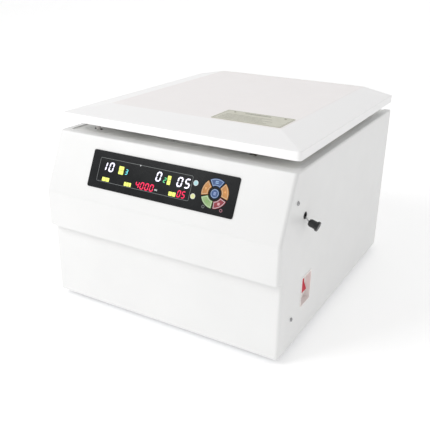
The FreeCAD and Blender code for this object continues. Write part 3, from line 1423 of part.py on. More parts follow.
def case_screws():
    """Every screw on the outside of the case, each with a cross recess."""
    screws = []
    for head, shank in side_screw_shapes(SCREW_SHANK) + rear_screw_shapes(SCREW_SHANK):
        outward = (head.CenterOfMass - shank.CenterOfMass).normalize()
        face = head.CenterOfMass + outward * SCREW_HEAD_HEIGHT / 2
        crown = [e for e in head.Edges if e.isClosed() and near((middle(e) - face).dot(outward), 0)]
        head = head.makeFillet(SCREW_CROWN_RADIUS, crown)
        screws.append(without(joined([head, shank]), cross_recess(face, outward)))
    return grouped(screws)


# ---------------------------------------------------------------- fan and inlet
def fan_axis(radius, start, end):
    """Round bar on the fan's axis, between two distances back."""
    return rod(radius, Vector(FAN_X, start, FAN_Z), Vector(FAN_X, end, FAN_Z))


def fan_struts():
    """Flat bars from the motor disc to the duct."""
    struts = []
    for n in range(FAN_STRUTS):
        strut = box(
            FAN_X + FAN_HUB - PAST,
            FAN_X + FAN_BORE + PAST,
            FAN_FRONT,
            FAN_FRONT + FAN_DISC,
            FAN_Z - FAN_STRUT_HALF,
            FAN_Z + FAN_STRUT_HALF,
        )
        strut.rotate(Vector(FAN_X, 0, FAN_Z), Y_AXIS, 90 + n * 360.0 / FAN_STRUTS)
        struts.append(strut)
    return struts


def fan_frame():
    """Square fan frame: round duct, corner screw lugs, motor disc and three struts."""
    half = FAN_SIZE / 2
    back = REAR - SHEET
    frame = box(FAN_X - half, FAN_X + half, FAN_FRONT, back, FAN_Z - half, FAN_Z + half)
    frame = rounded(frame, FAN_CORNER_RADIUS, lambda e: runs_along(e, Y_AXIS))
    frame = frame.cut(fan_axis(FAN_BORE, FAN_FRONT - PAST, back + PAST))
    disc = fan_axis(FAN_HUB, FAN_FRONT, FAN_FRONT + FAN_DISC)
    post = fan_axis(FAN_POST, FAN_FRONT, FAN_FRONT + FAN_BOSS)
    offsets = (-FAN_SCREW_OFFSET, FAN_SCREW_OFFSET)
    holes = [
        rod(
            SCREW_SHANK,
            Vector(FAN_X + a, back - FAN_SCREW_DEPTH, FAN_Z + b),
            Vector(FAN_X + a, back + PAST, FAN_Z + b),
        )
        for a in offsets
        for b in offsets
    ]
    return without(joined([frame, disc, post] + fan_struts()), holes)


def fan_impeller():
    """Hub cup with seven slanted blades, turning on the frame's post."""
    front = FAN_FRONT + FAN_DISC + FAN_DISC_GAP
    back = REAR - SHEET - FAN_BACK_GAP
    hub = fan_axis(FAN_HUB, front, back)
    hub = rounded(hub, FAN_HUB_EDGE_RADIUS, lambda e: near(middle(e).y, back))
    bore = fan_axis(FAN_POST + RUNNING_GAP, front - PAST, FAN_FRONT + FAN_BOSS + SLIDING_GAP)
    low, high = front + FAN_BLADE_MARGIN, back - FAN_BLADE_MARGIN
    root = FAN_Z + FAN_HUB - FAN_BLADE_MARGIN
    lean, half = FAN_BLADE_LEAN, FAN_BLADE_HALF
    points = [
        Vector(FAN_X - lean - half, low, root),
        Vector(FAN_X - lean + half, low, root),
        Vector(FAN_X + lean + half, high, root),
        Vector(FAN_X + lean - half, high, root),
    ]
    pieces = [hub]
    for n in range(FAN_BLADES):
        blade = prism(points, Vector(0, 0, FAN_Z + FAN_TIP - root - PAST))
        blade.rotate(Vector(FAN_X, 0, FAN_Z), Y_AXIS, n * 360.0 / FAN_BLADES)
        pieces.append(blade)
    return joined(pieces).cut(bore)


def fan_guard():
    """Wire finger guard: rings on four spokes that end at the screws."""
    rings = [
        Part.makeTorus(radius, GUARD_WIRE, Vector(FAN_X, REAR + GUARD_RING_LEVEL, FAN_Z), Y_AXIS)
        for radius in GUARD_RINGS
    ]
    centre = Vector(FAN_X, REAR + GUARD_WIRE, FAN_Z)
    reach = FAN_SCREW_OFFSET * math.sqrt(2) - SCREW_HEAD - GUARD_SCREW_GAP
    spokes = []
    for n in range(GUARD_SPOKES):
        turn = math.radians((n + 0.5) * 360.0 / GUARD_SPOKES)
        across = Vector(math.cos(turn), 0, math.sin(turn))
        spokes.append(rod(GUARD_WIRE, centre + across * GUARD_SPOKE_START, centre + across * reach))
    return joined(rings + spokes)


def inlet_block(half_w, half_h, y0, y1, middle_z=INLET_Z):
    """Block centred on the inlet, between two distances back."""
    return box(INLET_X - half_w, INLET_X + half_w, y0, y1, middle_z - half_h, middle_z + half_h)


def inlet_blades(back):
    """Three flat contact blades in the inlet's recess."""
    blades = []
    for x, z in INLET_BLADES:
        blade = inlet_block(
            INLET_BLADE_HALF_WIDTH,
            INLET_BLADE_HALF_HEIGHT,
            back - RECESS_DEPTH - PAST,
            back - INLET_BLADE_INSET,
            INLET_Z - RECESS_DROP + z,
        )
        blade.translate(Vector(x, 0, 0))
        blades.append(blade)
    return blades


def fuse_drawer(back):
    """Fuse drawer above the recess, with a finger notch at its top."""
    middle_z = INLET_Z + DRAWER_RISE
    drawer = inlet_block(
        DRAWER_HALF_WIDTH,
        DRAWER_HALF_HEIGHT,
        back - DRAWER_DEPTH - DRAWER_GAP,
        back + DRAWER_PROUD,
        middle_z,
    )
    notch = box(
        INLET_X - DRAWER_NOTCH_HALF,
        INLET_X + DRAWER_NOTCH_HALF,
        back - DRAWER_NOTCH_DEPTH,
        back + PAST,
        middle_z + DRAWER_NOTCH_RISE,
        middle_z + DRAWER_HALF_HEIGHT + PAST,
    )
    return drawer.cut(notch)


def power_inlet():
    """Appliance inlet with three blades in its recess, and a fuse drawer above it."""
    flange_half_w, flange_half_h, flange = INLET_FLANGE
    back = REAR + flange
    plate = inlet_block(flange_half_w, flange_half_h, REAR, back)
    plate = rounded(plate, INLET_CORNER_RADIUS, lambda e: runs_along(e, Y_AXIS))
    body = inlet_block(
        INLET_WIDTH / 2 - INLET_GAP, INLET_HEIGHT / 2 - INLET_GAP, REAR - INLET_BODY_DEPTH, REAR
    )
    recess_z = INLET_Z - RECESS_DROP
    recess = inlet_block(RECESS_HALF_WIDTH, RECESS_HALF_HEIGHT, back - RECESS_DEPTH, back + PAST, recess_z)
    recess = chamfered(
        recess, RECESS_CHAMFER, lambda e: runs_along(e, Y_AXIS) and middle(e).z > recess_z
    )
    drawer_gap = inlet_block(
        DRAWER_HALF_WIDTH + DRAWER_GAP,
        DRAWER_HALF_HEIGHT + DRAWER_GAP,
        back - DRAWER_DEPTH,
        back + PAST,
        INLET_Z + DRAWER_RISE,
    )
    shell = without(joined([plate, body]), [recess, drawer_gap])
    return joined([shell, fuse_drawer(back)] + inlet_blades(back))


# ---------------------------------------------------------------- electronics
def drive_board():
    """Motor drive board on four pillars, with its large parts."""
    top = BOARD_Z + BOARD_THICKNESS
    pieces = [box(BOARD_X0, BOARD_X1, BOARD_Y0, BOARD_Y1, BOARD_Z, top)]
    for x in (BOARD_X0 + PILLAR_INSET, BOARD_X1 - PILLAR_INSET):
        for y in (BOARD_Y0 + PILLAR_INSET, BOARD_Y1 - PILLAR_INSET):
            pieces.append(upright(PILLAR_RADIUS, x, y, CASE_BOTTOM + SHEET, BOARD_Z))
    for x, y in CAPACITORS:
        pieces.append(upright(CAPACITOR_RADIUS, x, y, top, top + CAPACITOR_HEIGHT))
    for x0, x1, y0, y1, height in (TRANSFORMER, TERMINAL_BLOCK):
        pieces.append(box(x0, x1, y0, y1, top, top + height))
    return joined(pieces)


def heat_sink():
    """Finned block at the back of the drive board."""
    low = BOARD_Z + BOARD_THICKNESS
    base_top = low + SINK_BASE
    pieces = [box(SINK_X0, SINK_X1, SINK_Y0, SINK_Y1, low, base_top)]
    pitch = (SINK_X1 - SINK_X0 - SINK_FIN_WIDTH) / (SINK_FINS - 1)
    for n in range(SINK_FINS):
        x = SINK_X0 + n * pitch
        pieces.append(
            box(x, x + SINK_FIN_WIDTH, SINK_Y0, SINK_Y1, base_top, base_top + SINK_FIN_HEIGHT)
        )
    return joined(pieces)


# ---------------------------------------------------------------- export
def all_nodes():
    """Every node's name and shape."""
    nodes = {
        "base_pan": base_pan(),
        "rubber_feet": rubber_feet(),
        "housing_wrap": housing_wrap(),
        "lower_front_panel": lower_front_panel(),
        "rear_panel": rear_panel(),
        "top_deck": top_deck(),
        "deck_seal": deck_seal(),
        "chamber_bowl": chamber_bowl(),
        "shaft_boot": shaft_boot(),
        "motor_plate": motor_plate(),
        "vibration_dampers": vibration_dampers(),
        "motor_can": motor_can(),
        "motor_end_caps": motor_end_caps(),
        "motor_bearings": motor_bearings(),
        "motor_shaft": motor_shaft(),
        "motor_magnet": motor_magnet(),
        "rotor_yoke": rotor_yoke(),
        "trunnion_pins": trunnion_pins(),
        "rotor_nut": rotor_nut(),
        "lid_shell": lid_shell(),
        "lid_liner": lid_liner(),
        "lid_striker": lid_striker(),
        "lid_label": lid_label(),
        "label_rivets": label_rivets(),
        "hinge_deck_leaves": hinge_deck_leaves(),
        "hinge_lid_leaves": hinge_lid_leaves(),
        "hinge_pins": hinge_pins(),
        "lock_body": lock_body(),
        "lock_bolt": lock_bolt(),
        "lid_switch_bushing": lid_switch_bushing(),
        "lid_switch_plunger": lid_switch_plunger(),
        "control_panel": on_panel(control_panel()),
        "display_board": on_panel(display_board()),
        "digit_modules": on_panel(digit_modules()),
        "key_centre": on_panel(key_centre()),
        "switch_body": switch_body(),
        "rocker": rocker(),
        "release_grommet": release_grommet(),
        "release_wire": release_wire(),
        "release_knob": release_knob(),
        "case_screws": case_screws(),
        "fan_frame": fan_frame(),
        "fan_impeller": fan_impeller(),
        "fan_guard": fan_guard(),
        "power_inlet": power_inlet(),
        "drive_board": drive_board(),
        "heat_sink": heat_sink(),
    }
    for name in KEY_ANGLES:
        nodes[name] = on_panel(key_cap(name))
    for n in range(BUCKETS):
        nodes["bucket_%d" % (n + 1)] = turned(bucket(), n * BUCKET_TURN)
        nodes["bucket_cushion_%d" % (n + 1)] = turned(cushion(), n * BUCKET_TURN)
    return nodes


def main():
    os.makedirs("parts", exist_ok=True)
    for name, shape in all_nodes().items():
        if not shape.isValid() or not shape.Solids:
            raise ValueError("bad solid: " + name)
        shape.exportStep("parts/" + name + ".step")
        print(name, len(shape.Solids), round(shape.Volume / 1000.0, 1))


main()
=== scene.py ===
"""Looks of a benchtop laboratory centrifuge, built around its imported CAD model.

Metres, in the model's own frame: +X to the operator's right, +Y to the back, +Z up.
"""
import json
import math

import bmesh
import bpy
from mathutils import Matrix, Vector


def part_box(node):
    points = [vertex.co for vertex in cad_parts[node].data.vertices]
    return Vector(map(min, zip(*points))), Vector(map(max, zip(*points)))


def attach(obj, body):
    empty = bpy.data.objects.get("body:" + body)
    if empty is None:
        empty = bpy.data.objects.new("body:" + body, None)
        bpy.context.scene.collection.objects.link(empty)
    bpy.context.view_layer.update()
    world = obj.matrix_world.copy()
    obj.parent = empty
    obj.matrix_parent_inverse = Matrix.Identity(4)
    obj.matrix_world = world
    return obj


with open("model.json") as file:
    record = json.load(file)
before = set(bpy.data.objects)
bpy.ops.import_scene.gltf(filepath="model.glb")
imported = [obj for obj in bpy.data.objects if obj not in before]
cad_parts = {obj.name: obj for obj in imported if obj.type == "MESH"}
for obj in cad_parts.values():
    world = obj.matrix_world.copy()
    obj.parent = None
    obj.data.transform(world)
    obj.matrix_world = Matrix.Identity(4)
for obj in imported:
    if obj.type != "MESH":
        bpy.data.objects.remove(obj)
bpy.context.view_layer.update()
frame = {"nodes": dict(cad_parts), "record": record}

nodes = frame["nodes"]
MM = 0.001

# ---------------------------------------------------------------- places read from the frame
label_low, label_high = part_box("lid_label")
rear_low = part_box("rear_panel")[0]
bowl_low, bowl_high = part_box("chamber_bowl")
ROTOR_CENTRE = (bowl_low + bowl_high) / 2


def main_face(node, roughly):
    """The direction and the outermost level of a node's largest flat face that looks roughly that way."""
    areas = {}
    for polygon in nodes[node].data.polygons:
        if polygon.normal.dot(roughly) > 0.8:
            key = tuple(round(c, 3) for c in polygon.normal)
            areas[key] = areas.get(key, 0) + polygon.area
    direction = Vector(max(areas, key=areas.get)).normalized()
    level = max(direction.dot(v.co) for v in nodes[node].data.vertices)
    return direction, level


def plane_of(node, roughly, up, corner):
    """Flat axes on a node's main face: x across, y up, z outwards, with the origin at a box corner."""
    out, level = main_face(node, roughly)
    across = Vector(up).cross(out).normalized()
    upwards = out.cross(across)
    start = across * across.dot(corner)
    low = min(upwards.dot(v.co) for v in nodes[node].data.vertices)
    origin = start + upwards * low + out * level
    place = Matrix((across, upwards, out)).transposed().to_4x4()
    place.translation = origin
    return place


PANEL = plane_of("control_panel", Vector((0, -0.9, 0.4)), (0, 0, 1), Vector((0, 0, 0)))
LABEL = plane_of("lid_label", Vector((0, 0, 1)), (0, 1, 0), label_low)
REAR = plane_of("rear_panel", Vector((0, 1, 0)), (0, 0, 1), Vector((0, 0, 0)))


# ---------------------------------------------------------------- flat outlines
def arc(x, y, radius, start, end, steps):
    """Points along part of a circle, angles in degrees."""
    angles = [math.radians(start + (end - start) * i / steps) for i in range(steps + 1)]
    return [(x + radius * math.cos(a), y + radius * math.sin(a)) for a in angles]


def circle(x, y, radius, steps=32):
    """A closed round outline."""
    return arc(x, y, radius, 0, 360, steps)[:-1]


def rounded_rectangle(x0, y0, x1, y1, radius, steps=5):
    """A rectangle with round corners."""
    corners = [(x1 - radius, y1 - radius, 0), (x0 + radius, y1 - radius, 90),
               (x0 + radius, y0 + radius, 180), (x1 - radius, y0 + radius, 270)]
    return [p for x, y, turn in corners for p in arc(x, y, radius, turn, turn + 90, steps)]


def ring_sector(x, y, inner, outer, middle, half_angle, inset, steps=14):
    """A piece of a ring, moved inwards by inset on every side."""
    big, small = outer - inset, inner + inset
    trim_big = math.degrees(math.asin(inset / big))
    trim_small = math.degrees(math.asin(inset / small))
    out = arc(x, y, big, middle - half_angle + trim_big, middle + half_angle - trim_big, steps)
    back = arc(x, y, small, middle + half_angle - trim_small, middle - half_angle + trim_small, steps)
    return out + back


def regular(x, y, radius, sides, turn):
    """A triangle, square or other regular outline."""
    return arc(x, y, radius, turn, turn + 360, sides)[:-1]


# ---------------------------------------------------------------- thin solids
def add_plate(bm, place, outline, low, high):
    """A flat solid with this outline between two heights, all in millimetres."""
    rings = [[bm.verts.new(place @ Vector((x, y, z))) for x, y in outline] for z in (low, high)]
    count = len(outline)
    bm.faces.new(rings[1])
    bm.faces.new(list(reversed(rings[0])))
    for i in range(count):
        j = (i + 1) % count
        bm.faces.new([rings[0][i], rings[0][j], rings[1][j], rings[1][i]])


def add_band(bm, place, outer, inner, low, high):
    """A flat frame between two outlines with the same number of points."""
    loops = [(outer, low), (outer, high), (inner, high), (inner, low)]
    rings = [[bm.verts.new(place @ Vector((x, y, z))) for x, y in outline] for outline, z in loops]
    count = len(outer)
    for k in range(4):
        here, after = rings[k], rings[(k + 1) % 4]
        for i in range(count):
            j = (i + 1) % count
            bm.faces.new([here[i], here[j], after[j], after[i]])


def thin_piece(name, place, material, body, plates=(), bands=(), low=-0.05, high=0.12):
    """One piece made of flat plates and frames that lie on a surface."""
    in_millimetres = place @ Matrix.Scale(MM, 4)
    bm = bmesh.new()
    for outline in plates:
        add_plate(bm, in_millimetres, outline, low, high)
    for outer, inner in bands:
        add_band(bm, in_millimetres, outer, inner, low, high)
    bmesh.ops.recalc_face_normals(bm, faces=bm.faces)
    mesh = bpy.data.meshes.new(name)
    bm.to_mesh(mesh)
    bm.free()
    piece = bpy.data.objects.new(name, mesh)
    bpy.context.scene.collection.objects.link(piece)
    mesh.materials.append(material)
    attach(piece, body)
    return piece


# ---------------------------------------------------------------- material building
class Surface:
    """A node material put together around one Principled shader."""

    def __init__(self, name, metallic=0.0, specular=0.5, coat=0.0, coat_roughness=0.1):
        self.material = bpy.data.materials.new(name)
        self.material.use_nodes = True
        self.tree = self.material.node_tree
        self.shader = self.tree.nodes["Principled BSDF"]
        self.shader.inputs["Metallic"].default_value = metallic
        self.shader.inputs["Specular IOR Level"].default_value = specular
        self.shader.inputs["Coat Weight"].default_value = coat
        self.shader.inputs["Coat Roughness"].default_value = coat_roughness
        self.normal = None

    def node(self, kind, **settings):
        made = self.tree.nodes.new(kind)
        for key, value in settings.items():
            setattr(made, key, value)
        return made

    def link(self, source, target):
        self.tree.links.new(source, target)

    def coordinates(self):
        return self.node("ShaderNodeTexCoord").outputs["Object"]

    def stretched(self, vector, scale):
        mapping = self.node("ShaderNodeMapping")
        mapping.inputs["Scale"].default_value = scale
        self.link(vector, mapping.inputs["Vector"])
        return mapping.outputs["Vector"]

    def around(self, x, y):
        """Coordinates of radius and height about an upright axis, for turned and spun metal."""
        shift = self.node("ShaderNodeVectorMath", operation="SUBTRACT")
        shift.inputs[1].default_value = (x, y, 0)
        self.link(self.coordinates(), shift.inputs[0])
        parts = self.node("ShaderNodeSeparateXYZ")
        self.link(shift.outputs["Vector"], parts.inputs["Vector"])
        flat = self.node("ShaderNodeCombineXYZ")
        self.link(parts.outputs["X"], flat.inputs["X"])
        self.link(parts.outputs["Y"], flat.inputs["Y"])
        radius = self.node("ShaderNodeVectorMath", operation="LENGTH")
        self.link(flat.outputs["Vector"], radius.inputs[0])
        both = self.node("ShaderNodeCombineXYZ")
        self.link(radius.outputs["Value"], both.inputs["X"])
        self.link(parts.outputs["Z"], both.inputs["Z"])
        return both.outputs["Vector"]

    def height(self, low, high):
        """A number that goes from 0 to 1 between two heights."""
        parts = self.node("ShaderNodeSeparateXYZ")
        self.link(self.coordinates(), parts.inputs["Vector"])
        ranged = self.node("ShaderNodeMapRange")
        ranged.inputs["From Min"].default_value = low
        ranged.inputs["From Max"].default_value = high
        self.link(parts.outputs["Z"], ranged.inputs["Value"])
        return ranged.outputs["Result"]

    def noise(self, size, detail=2.0, stretch=(1, 1, 1), vector=None):
        """Cloudy pattern with features of about this size in metres."""
        texture = self.node("ShaderNodeTexNoise")
        texture.inputs["Scale"].default_value = 1 / size
        texture.inputs["Detail"].default_value = detail
        self.link(self.stretched(vector or self.coordinates(), stretch), texture.inputs["Vector"])
        return texture.outputs["Fac"]

    def cells(self, size, feature="F1"):
        """Patches with features of about this size in metres."""
        texture = self.node("ShaderNodeTexVoronoi", feature=feature)
        texture.inputs["Scale"].default_value = 1 / size
        self.link(self.coordinates(), texture.inputs["Vector"])
        return texture.outputs["Distance"]

    def spread(self, value, low, high):
        """A number between low and high, following a pattern."""
        ranged = self.node("ShaderNodeMapRange")
        ranged.inputs["From Min"].default_value = 0.3
        ranged.inputs["From Max"].default_value = 0.7
        ranged.inputs["To Min"].default_value = low
        ranged.inputs["To Max"].default_value = high
        self.link(value, ranged.inputs["Value"])
        return ranged.outputs["Result"]

    def tint(self, value, dark, light):
        """A colour between two near colours, following a pattern."""
        ramp = self.node("ShaderNodeValToRGB")
        ramp.color_ramp.elements[0].position = 0.3
        ramp.color_ramp.elements[1].position = 0.7
        ramp.color_ramp.elements[0].color = (*dark, 1)
        ramp.color_ramp.elements[1].color = (*light, 1)
        self.link(value, ramp.inputs["Fac"])
        return ramp.outputs["Color"]

    def colour(self, value, dark, light):
        self.link(self.tint(value, dark, light), self.shader.inputs["Base Color"])

    def roughness(self, value, low, high):
        self.link(self.spread(value, low, high), self.shader.inputs["Roughness"])

    def relief(self, value, depth):
        """Raise the surface by a pattern, by up to depth in metres."""
        bump = self.node("ShaderNodeBump")
        bump.inputs["Distance"].default_value = depth
        self.link(value, bump.inputs["Height"])
        if self.normal:
            self.link(self.normal, bump.inputs["Normal"])
        self.normal = bump.outputs["Normal"]
        self.link(self.normal, self.shader.inputs["Normal"])

    def glow(self, value, dark, light, strength):
        """Light given off by the surface."""
        self.link(self.tint(value, dark, light), self.shader.inputs["Emission Color"])
        self.shader.inputs["Emission Strength"].default_value = strength


def shade(colour, factor):
    """A colour made lighter or darker."""
    return tuple(min(1.0, c * factor) for c in colour)


def painted(name, colour, rough=0.38, peel=0.0012):
    """Powder-coated sheet steel with a faint orange-peel skin."""
    look = Surface(name, specular=0.45)
    cloud = look.noise(0.07, detail=3)
    skin = look.noise(peel, detail=1)
    look.colour(cloud, shade(colour, 0.985), shade(colour, 1.01))
    look.roughness(look.noise(0.02), rough - 0.04, rough + 0.05)
    look.relief(skin, 0.00003)
    look.relief(look.noise(0.045, detail=1), 0.0001)
    return look.material


def shaded_top_paint(name, colour, painted_shade_colour, top):
    """Powder-coated sheet whose level top is painted a little warmer and darker than its borders, as
    painted shade.
    """
    look = Surface(name, specular=0.45)
    # The level top takes the darker, warmer colour: painted shade.
    look.colour(look.height(top - 0.4 * MM, top), colour, painted_shade_colour)
    look.roughness(look.noise(0.02), 0.34, 0.43)
    look.relief(look.noise(0.0012, detail=1), 0.00003)
    look.relief(look.noise(0.045, detail=1), 0.0001)
    return look.material


def plain_metal(name, colour, rough, grain=0.0006, stretch=(1, 1, 1), depth=0.00001):
    """Metal with a fine grain, which stretch draws out into brushing."""
    look = Surface(name, metallic=1.0)
    lines = look.noise(grain, detail=3, stretch=stretch)
    look.colour(lines, shade(colour, 0.86), shade(colour, 1.08))
    look.roughness(look.noise(grain * 3, detail=4, stretch=stretch), rough * 0.8, rough * 1.3)
    look.relief(lines, depth)
    return look.material


def turned_metal(name, colour, rough, centre=(0, 0), line=0.0005, depth=0.00001):
    """Metal with fine rings about an upright axis, as a lathe or spinning leaves."""
    look = Surface(name, metallic=1.0)
    about = look.around(*centre)
    lines = look.noise(line, detail=3, vector=about)
    look.colour(lines, shade(colour, 0.88), shade(colour, 1.06))
    look.roughness(look.noise(0.012, detail=4), rough * 0.8, rough * 1.35)
    look.relief(lines, depth)
    return look.material


def galvanised(name, colour):
    """Zinc-coated sheet with its crystal patches."""
    look = Surface(name, metallic=1.0)
    patches = look.cells(0.006)
    look.colour(patches, shade(colour, 0.82), shade(colour, 1.1))
    look.roughness(patches, 0.32, 0.5)
    look.relief(look.noise(0.003), 0.00001)
    return look.material


def rubbery(name, colour, rough=0.62):
    """Moulded rubber with a dry, slightly dusty skin."""
    look = Surface(name, specular=0.35)
    look.colour(look.noise(0.02, detail=5), shade(colour, 0.8), shade(colour, 1.35))
    look.roughness(look.noise(0.004, detail=3), rough - 0.08, rough + 0.12)
    look.relief(look.noise(0.0005, detail=2), 0.00004)
    return look.material


def moulded(name, colour, rough=0.42, grain=0.0005, depth=0.00003, specular=0.5):
    """Moulded plastic with a spark-eroded grain."""
    look = Surface(name, specular=specular)
    look.colour(look.noise(0.03, detail=4), shade(colour, 0.9), shade(colour, 1.08))
    look.roughness(look.noise(0.006, detail=3), rough - 0.06, rough + 0.08)
    look.relief(look.noise(grain, detail=1), depth)
    return look.material


def cast_metal(name, colour, rough=0.5):
    """Blasted casting with a coarse skin."""
    look = Surface(name, metallic=0.9)
    look.colour(look.noise(0.004, detail=5), shade(colour, 0.8), shade(colour, 1.1))
    look.roughness(look.noise(0.002, detail=3), rough - 0.1, rough + 0.12)
    look.relief(look.noise(0.0012, detail=3), 0.00012)
    return look.material


def circuit_board(name, colour):
    """Solder mask with the paler lines of the copper beneath it."""
    look = Surface(name, specular=0.5)
    tracks = look.cells(0.004, feature="DISTANCE_TO_EDGE")
    look.colour(tracks, shade(colour, 1.9), colour)
    look.roughness(look.noise(0.01), 0.25, 0.38)
    look.relief(tracks, 0.00003)
    return look.material


def panel_film(name, colour):
    """Smoked polyester film, printed black behind."""
    look = Surface(name, specular=0.1)
    look.colour(look.noise(0.05, detail=4), shade(colour, 0.85), shade(colour, 1.2))
    look.roughness(look.noise(0.015, detail=4), 0.2, 0.32)
    look.relief(look.noise(0.0004, detail=1), 0.000006)
    return look.material


def key_film(name, colour):
    """Printed satin film over a key."""
    look = Surface(name, specular=0.4)
    look.colour(look.noise(0.012, detail=3), shade(colour, 0.86), shade(colour, 1.14))
    look.roughness(look.noise(0.005, detail=3), 0.28, 0.4)
    look.relief(look.noise(0.0003, detail=1), 0.000008)
    return look.material


def lit(name, colour, strength):
    """Numeral or legend lit from behind, with the soft cloud of its diffuser."""
    look = Surface(name, specular=0.2)
    cloud = look.noise(0.004, detail=3)
    look.colour(cloud, shade(colour, 0.9), colour)
    look.roughness(look.noise(0.002), 0.35, 0.5)
    look.glow(cloud, shade(colour, 0.92), colour, strength)
    return look.material


def printed(name, colour):
    """Thick screen-printed ink."""
    look = Surface(name, specular=0.35)
    look.colour(look.noise(0.003, detail=4), shade(colour, 0.9), shade(colour, 1.05))
    look.roughness(look.noise(0.002, detail=2), 0.4, 0.55)
    look.relief(look.noise(0.0002, detail=1), 0.000006)
    return look.material


def label_plate(name, colour):
    """Thin anodised plate, brushed along its length."""
    look = Surface(name, metallic=0.55, specular=0.5)
    lines = look.noise(0.0007, detail=3, stretch=(0.04, 1, 1))
    look.colour(lines, shade(colour, 0.9), shade(colour, 1.08))
    look.roughness(look.noise(0.01, detail=3), 0.36, 0.5)
    look.relief(lines, 0.000008)
    return look.material


def floor_paper(name, colour, glow_strength):
    """Seamless white paper."""
    look = Surface(name, specular=0.1)
    fibres = look.noise(0.002, detail=4)
    look.colour(look.noise(0.4, detail=2), shade(colour, 0.995), colour)
    look.roughness(fibres, 0.8, 0.95)
    look.relief(fibres, 0.00002)
    look.glow(fibres, colour, colour, glow_strength)
    return look.material


# ---------------------------------------------------------------- materials by slot
# The case's white is darker than the lid's so that the same white paint looks shaded on the case's faces:
# painted shade.
SHADED_CASE_WHITE = (0.80, 0.80, 0.795)
LID_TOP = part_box("lid_shell")[1][2]
ROTOR_XY = (ROTOR_CENTRE.x, ROTOR_CENTRE.y)
PLASTIC_BLACK = (0.022, 0.022, 0.024)

looks = {
    "case_paint": painted("case_paint", SHADED_CASE_WHITE),
    "front_paint": painted("front_paint", SHADED_CASE_WHITE),
    # The lid's level top is painted darker and warmer than its borders: painted shade.
    "lid_paint": shaded_top_paint("lid_paint", (0.91, 0.905, 0.905), (0.875, 0.842, 0.836), LID_TOP),
    "deck_paint": painted("deck_paint", (0.88, 0.88, 0.86)),
    "liner_paint": painted("liner_paint", (0.86, 0.86, 0.85), rough=0.45),
    "galvanised_steel": galvanised("galvanised_steel", (0.60, 0.61, 0.63)),
    "stainless_bowl": turned_metal("stainless_bowl", (0.66, 0.66, 0.665), 0.24, ROTOR_XY, 0.0009),
    "seal_rubber": rubbery("seal_rubber", (0.60, 0.60, 0.58)),
    "foot_rubber": rubbery("foot_rubber", (0.02, 0.02, 0.021)),
    "boot_rubber": rubbery("boot_rubber", (0.03, 0.03, 0.032)),
    "damper_rubber": rubbery("damper_rubber", (0.025, 0.025, 0.026)),
    "cushion_rubber": rubbery("cushion_rubber", (0.10, 0.03, 0.025)),
    "motor_paint": moulded("motor_paint", (0.05, 0.055, 0.065), 0.4, 0.0025, 0.0001),
    "cast_caps": cast_metal("cast_caps", (0.52, 0.53, 0.54)),
    "bearing_steel": turned_metal("bearing_steel", (0.7, 0.7, 0.71), 0.16, ROTOR_XY, 0.0004),
    "shaft_steel": turned_metal("shaft_steel", (0.62, 0.62, 0.63), 0.2, ROTOR_XY, 0.0003),
    "magnet": cast_metal("magnet", (0.10, 0.10, 0.105), 0.45),
    "yoke_aluminium": turned_metal("yoke_aluminium", (0.58, 0.585, 0.595), 0.34, ROTOR_XY, 0.0007),
    "pin_steel": plain_metal("pin_steel", (0.66, 0.66, 0.67), 0.2),
    "hand_nut": turned_metal("hand_nut", (0.50, 0.50, 0.51), 0.28, ROTOR_XY, 0.0005),
    "bucket_steel": plain_metal("bucket_steel", (0.63, 0.63, 0.64), 0.27, 0.0005, (0.05, 0.05, 1)),
    "fitting_steel": plain_metal("fitting_steel", (0.58, 0.56, 0.50), 0.3, 0.0008, (0.2, 1, 1)),
    "hinge_steel": plain_metal("hinge_steel", (0.60, 0.60, 0.61), 0.32, 0.0006, (0.06, 1, 1)),
    "label_metal": label_plate("label_metal", (0.60, 0.59, 0.50)),
    "rivet_metal": plain_metal("rivet_metal", (0.42, 0.41, 0.34), 0.3),
    "black_plastic": moulded("black_plastic", PLASTIC_BLACK),
    "switch_ivory": moulded("switch_ivory", (0.94, 0.89, 0.87), 0.34, 0.0006, 0.00001),
    "plunger_metal": plain_metal("plunger_metal", (0.66, 0.66, 0.67), 0.22),
    "panel_black": panel_film("panel_black", (0.010, 0.011, 0.012)),
    "numerals": lit("numerals", (0.6, 0.6, 0.62), 0.2),
    "board_green": circuit_board("board_green", (0.02, 0.11, 0.05)),
    "key_blue": key_film("key_blue", (0.019, 0.066, 0.205)),
    "key_orange": key_film("key_orange", (0.50, 0.212, 0.046)),
    "key_red": key_film("key_red", (0.24, 0.012, 0.026)),
    "key_green": key_film("key_green", (0.26, 0.40, 0.16)),
    "rocker_red": moulded("rocker_red", (0.60, 0.006, 0.035), 0.3, 0.0006, 0.00001, 0.3),
    "knob_black": moulded("knob_black", PLASTIC_BLACK, 0.36),
    "wire_steel": plain_metal("wire_steel", (0.50, 0.50, 0.51), 0.28),
    "screw_steel": plain_metal("screw_steel", (0.42, 0.42, 0.43), 0.36),
    "guard_chrome": plain_metal("guard_chrome", (0.72, 0.72, 0.73), 0.12),
    "heat_sink_aluminium": plain_metal(
        "heat_sink_aluminium", (0.5, 0.51, 0.52), 0.36, 0.0006, (1, 0.05, 1)),
}

for part in frame["record"]["subparts"]:
    mesh = nodes[part["node"]].data
    mesh.materials.clear()
    mesh.materials.append(looks[part["material_slot"]])

lit_white = lit("lit_white", (0.86, 0.84, 1.0), 0.75)
lit_red = lit("lit_red", (0.80, 0.02, 0.09), 0.75)
lit_cyan = lit("lit_cyan", (0.16, 0.72, 0.80), 0.5)
lit_green = lit("lit_green", (0.12, 0.62, 0.28), 0.5)
lit_yellow = lit("lit_yellow", (0.72, 0.80, 0.16), 0.55)
ink_grey = printed("ink_grey", (0.16, 0.17, 0.17))
ink_white = printed("ink_white", (0.72, 0.73, 0.74))
ink_pink = printed("ink_pink", (0.42, 0.17, 0.22))
ink_dark = printed("ink_dark", (0.24, 0.235, 0.19))
ink_sky = printed("ink_sky", (0.42, 0.68, 0.72))
ink_straw = printed("ink_straw", (0.72, 0.74, 0.36))

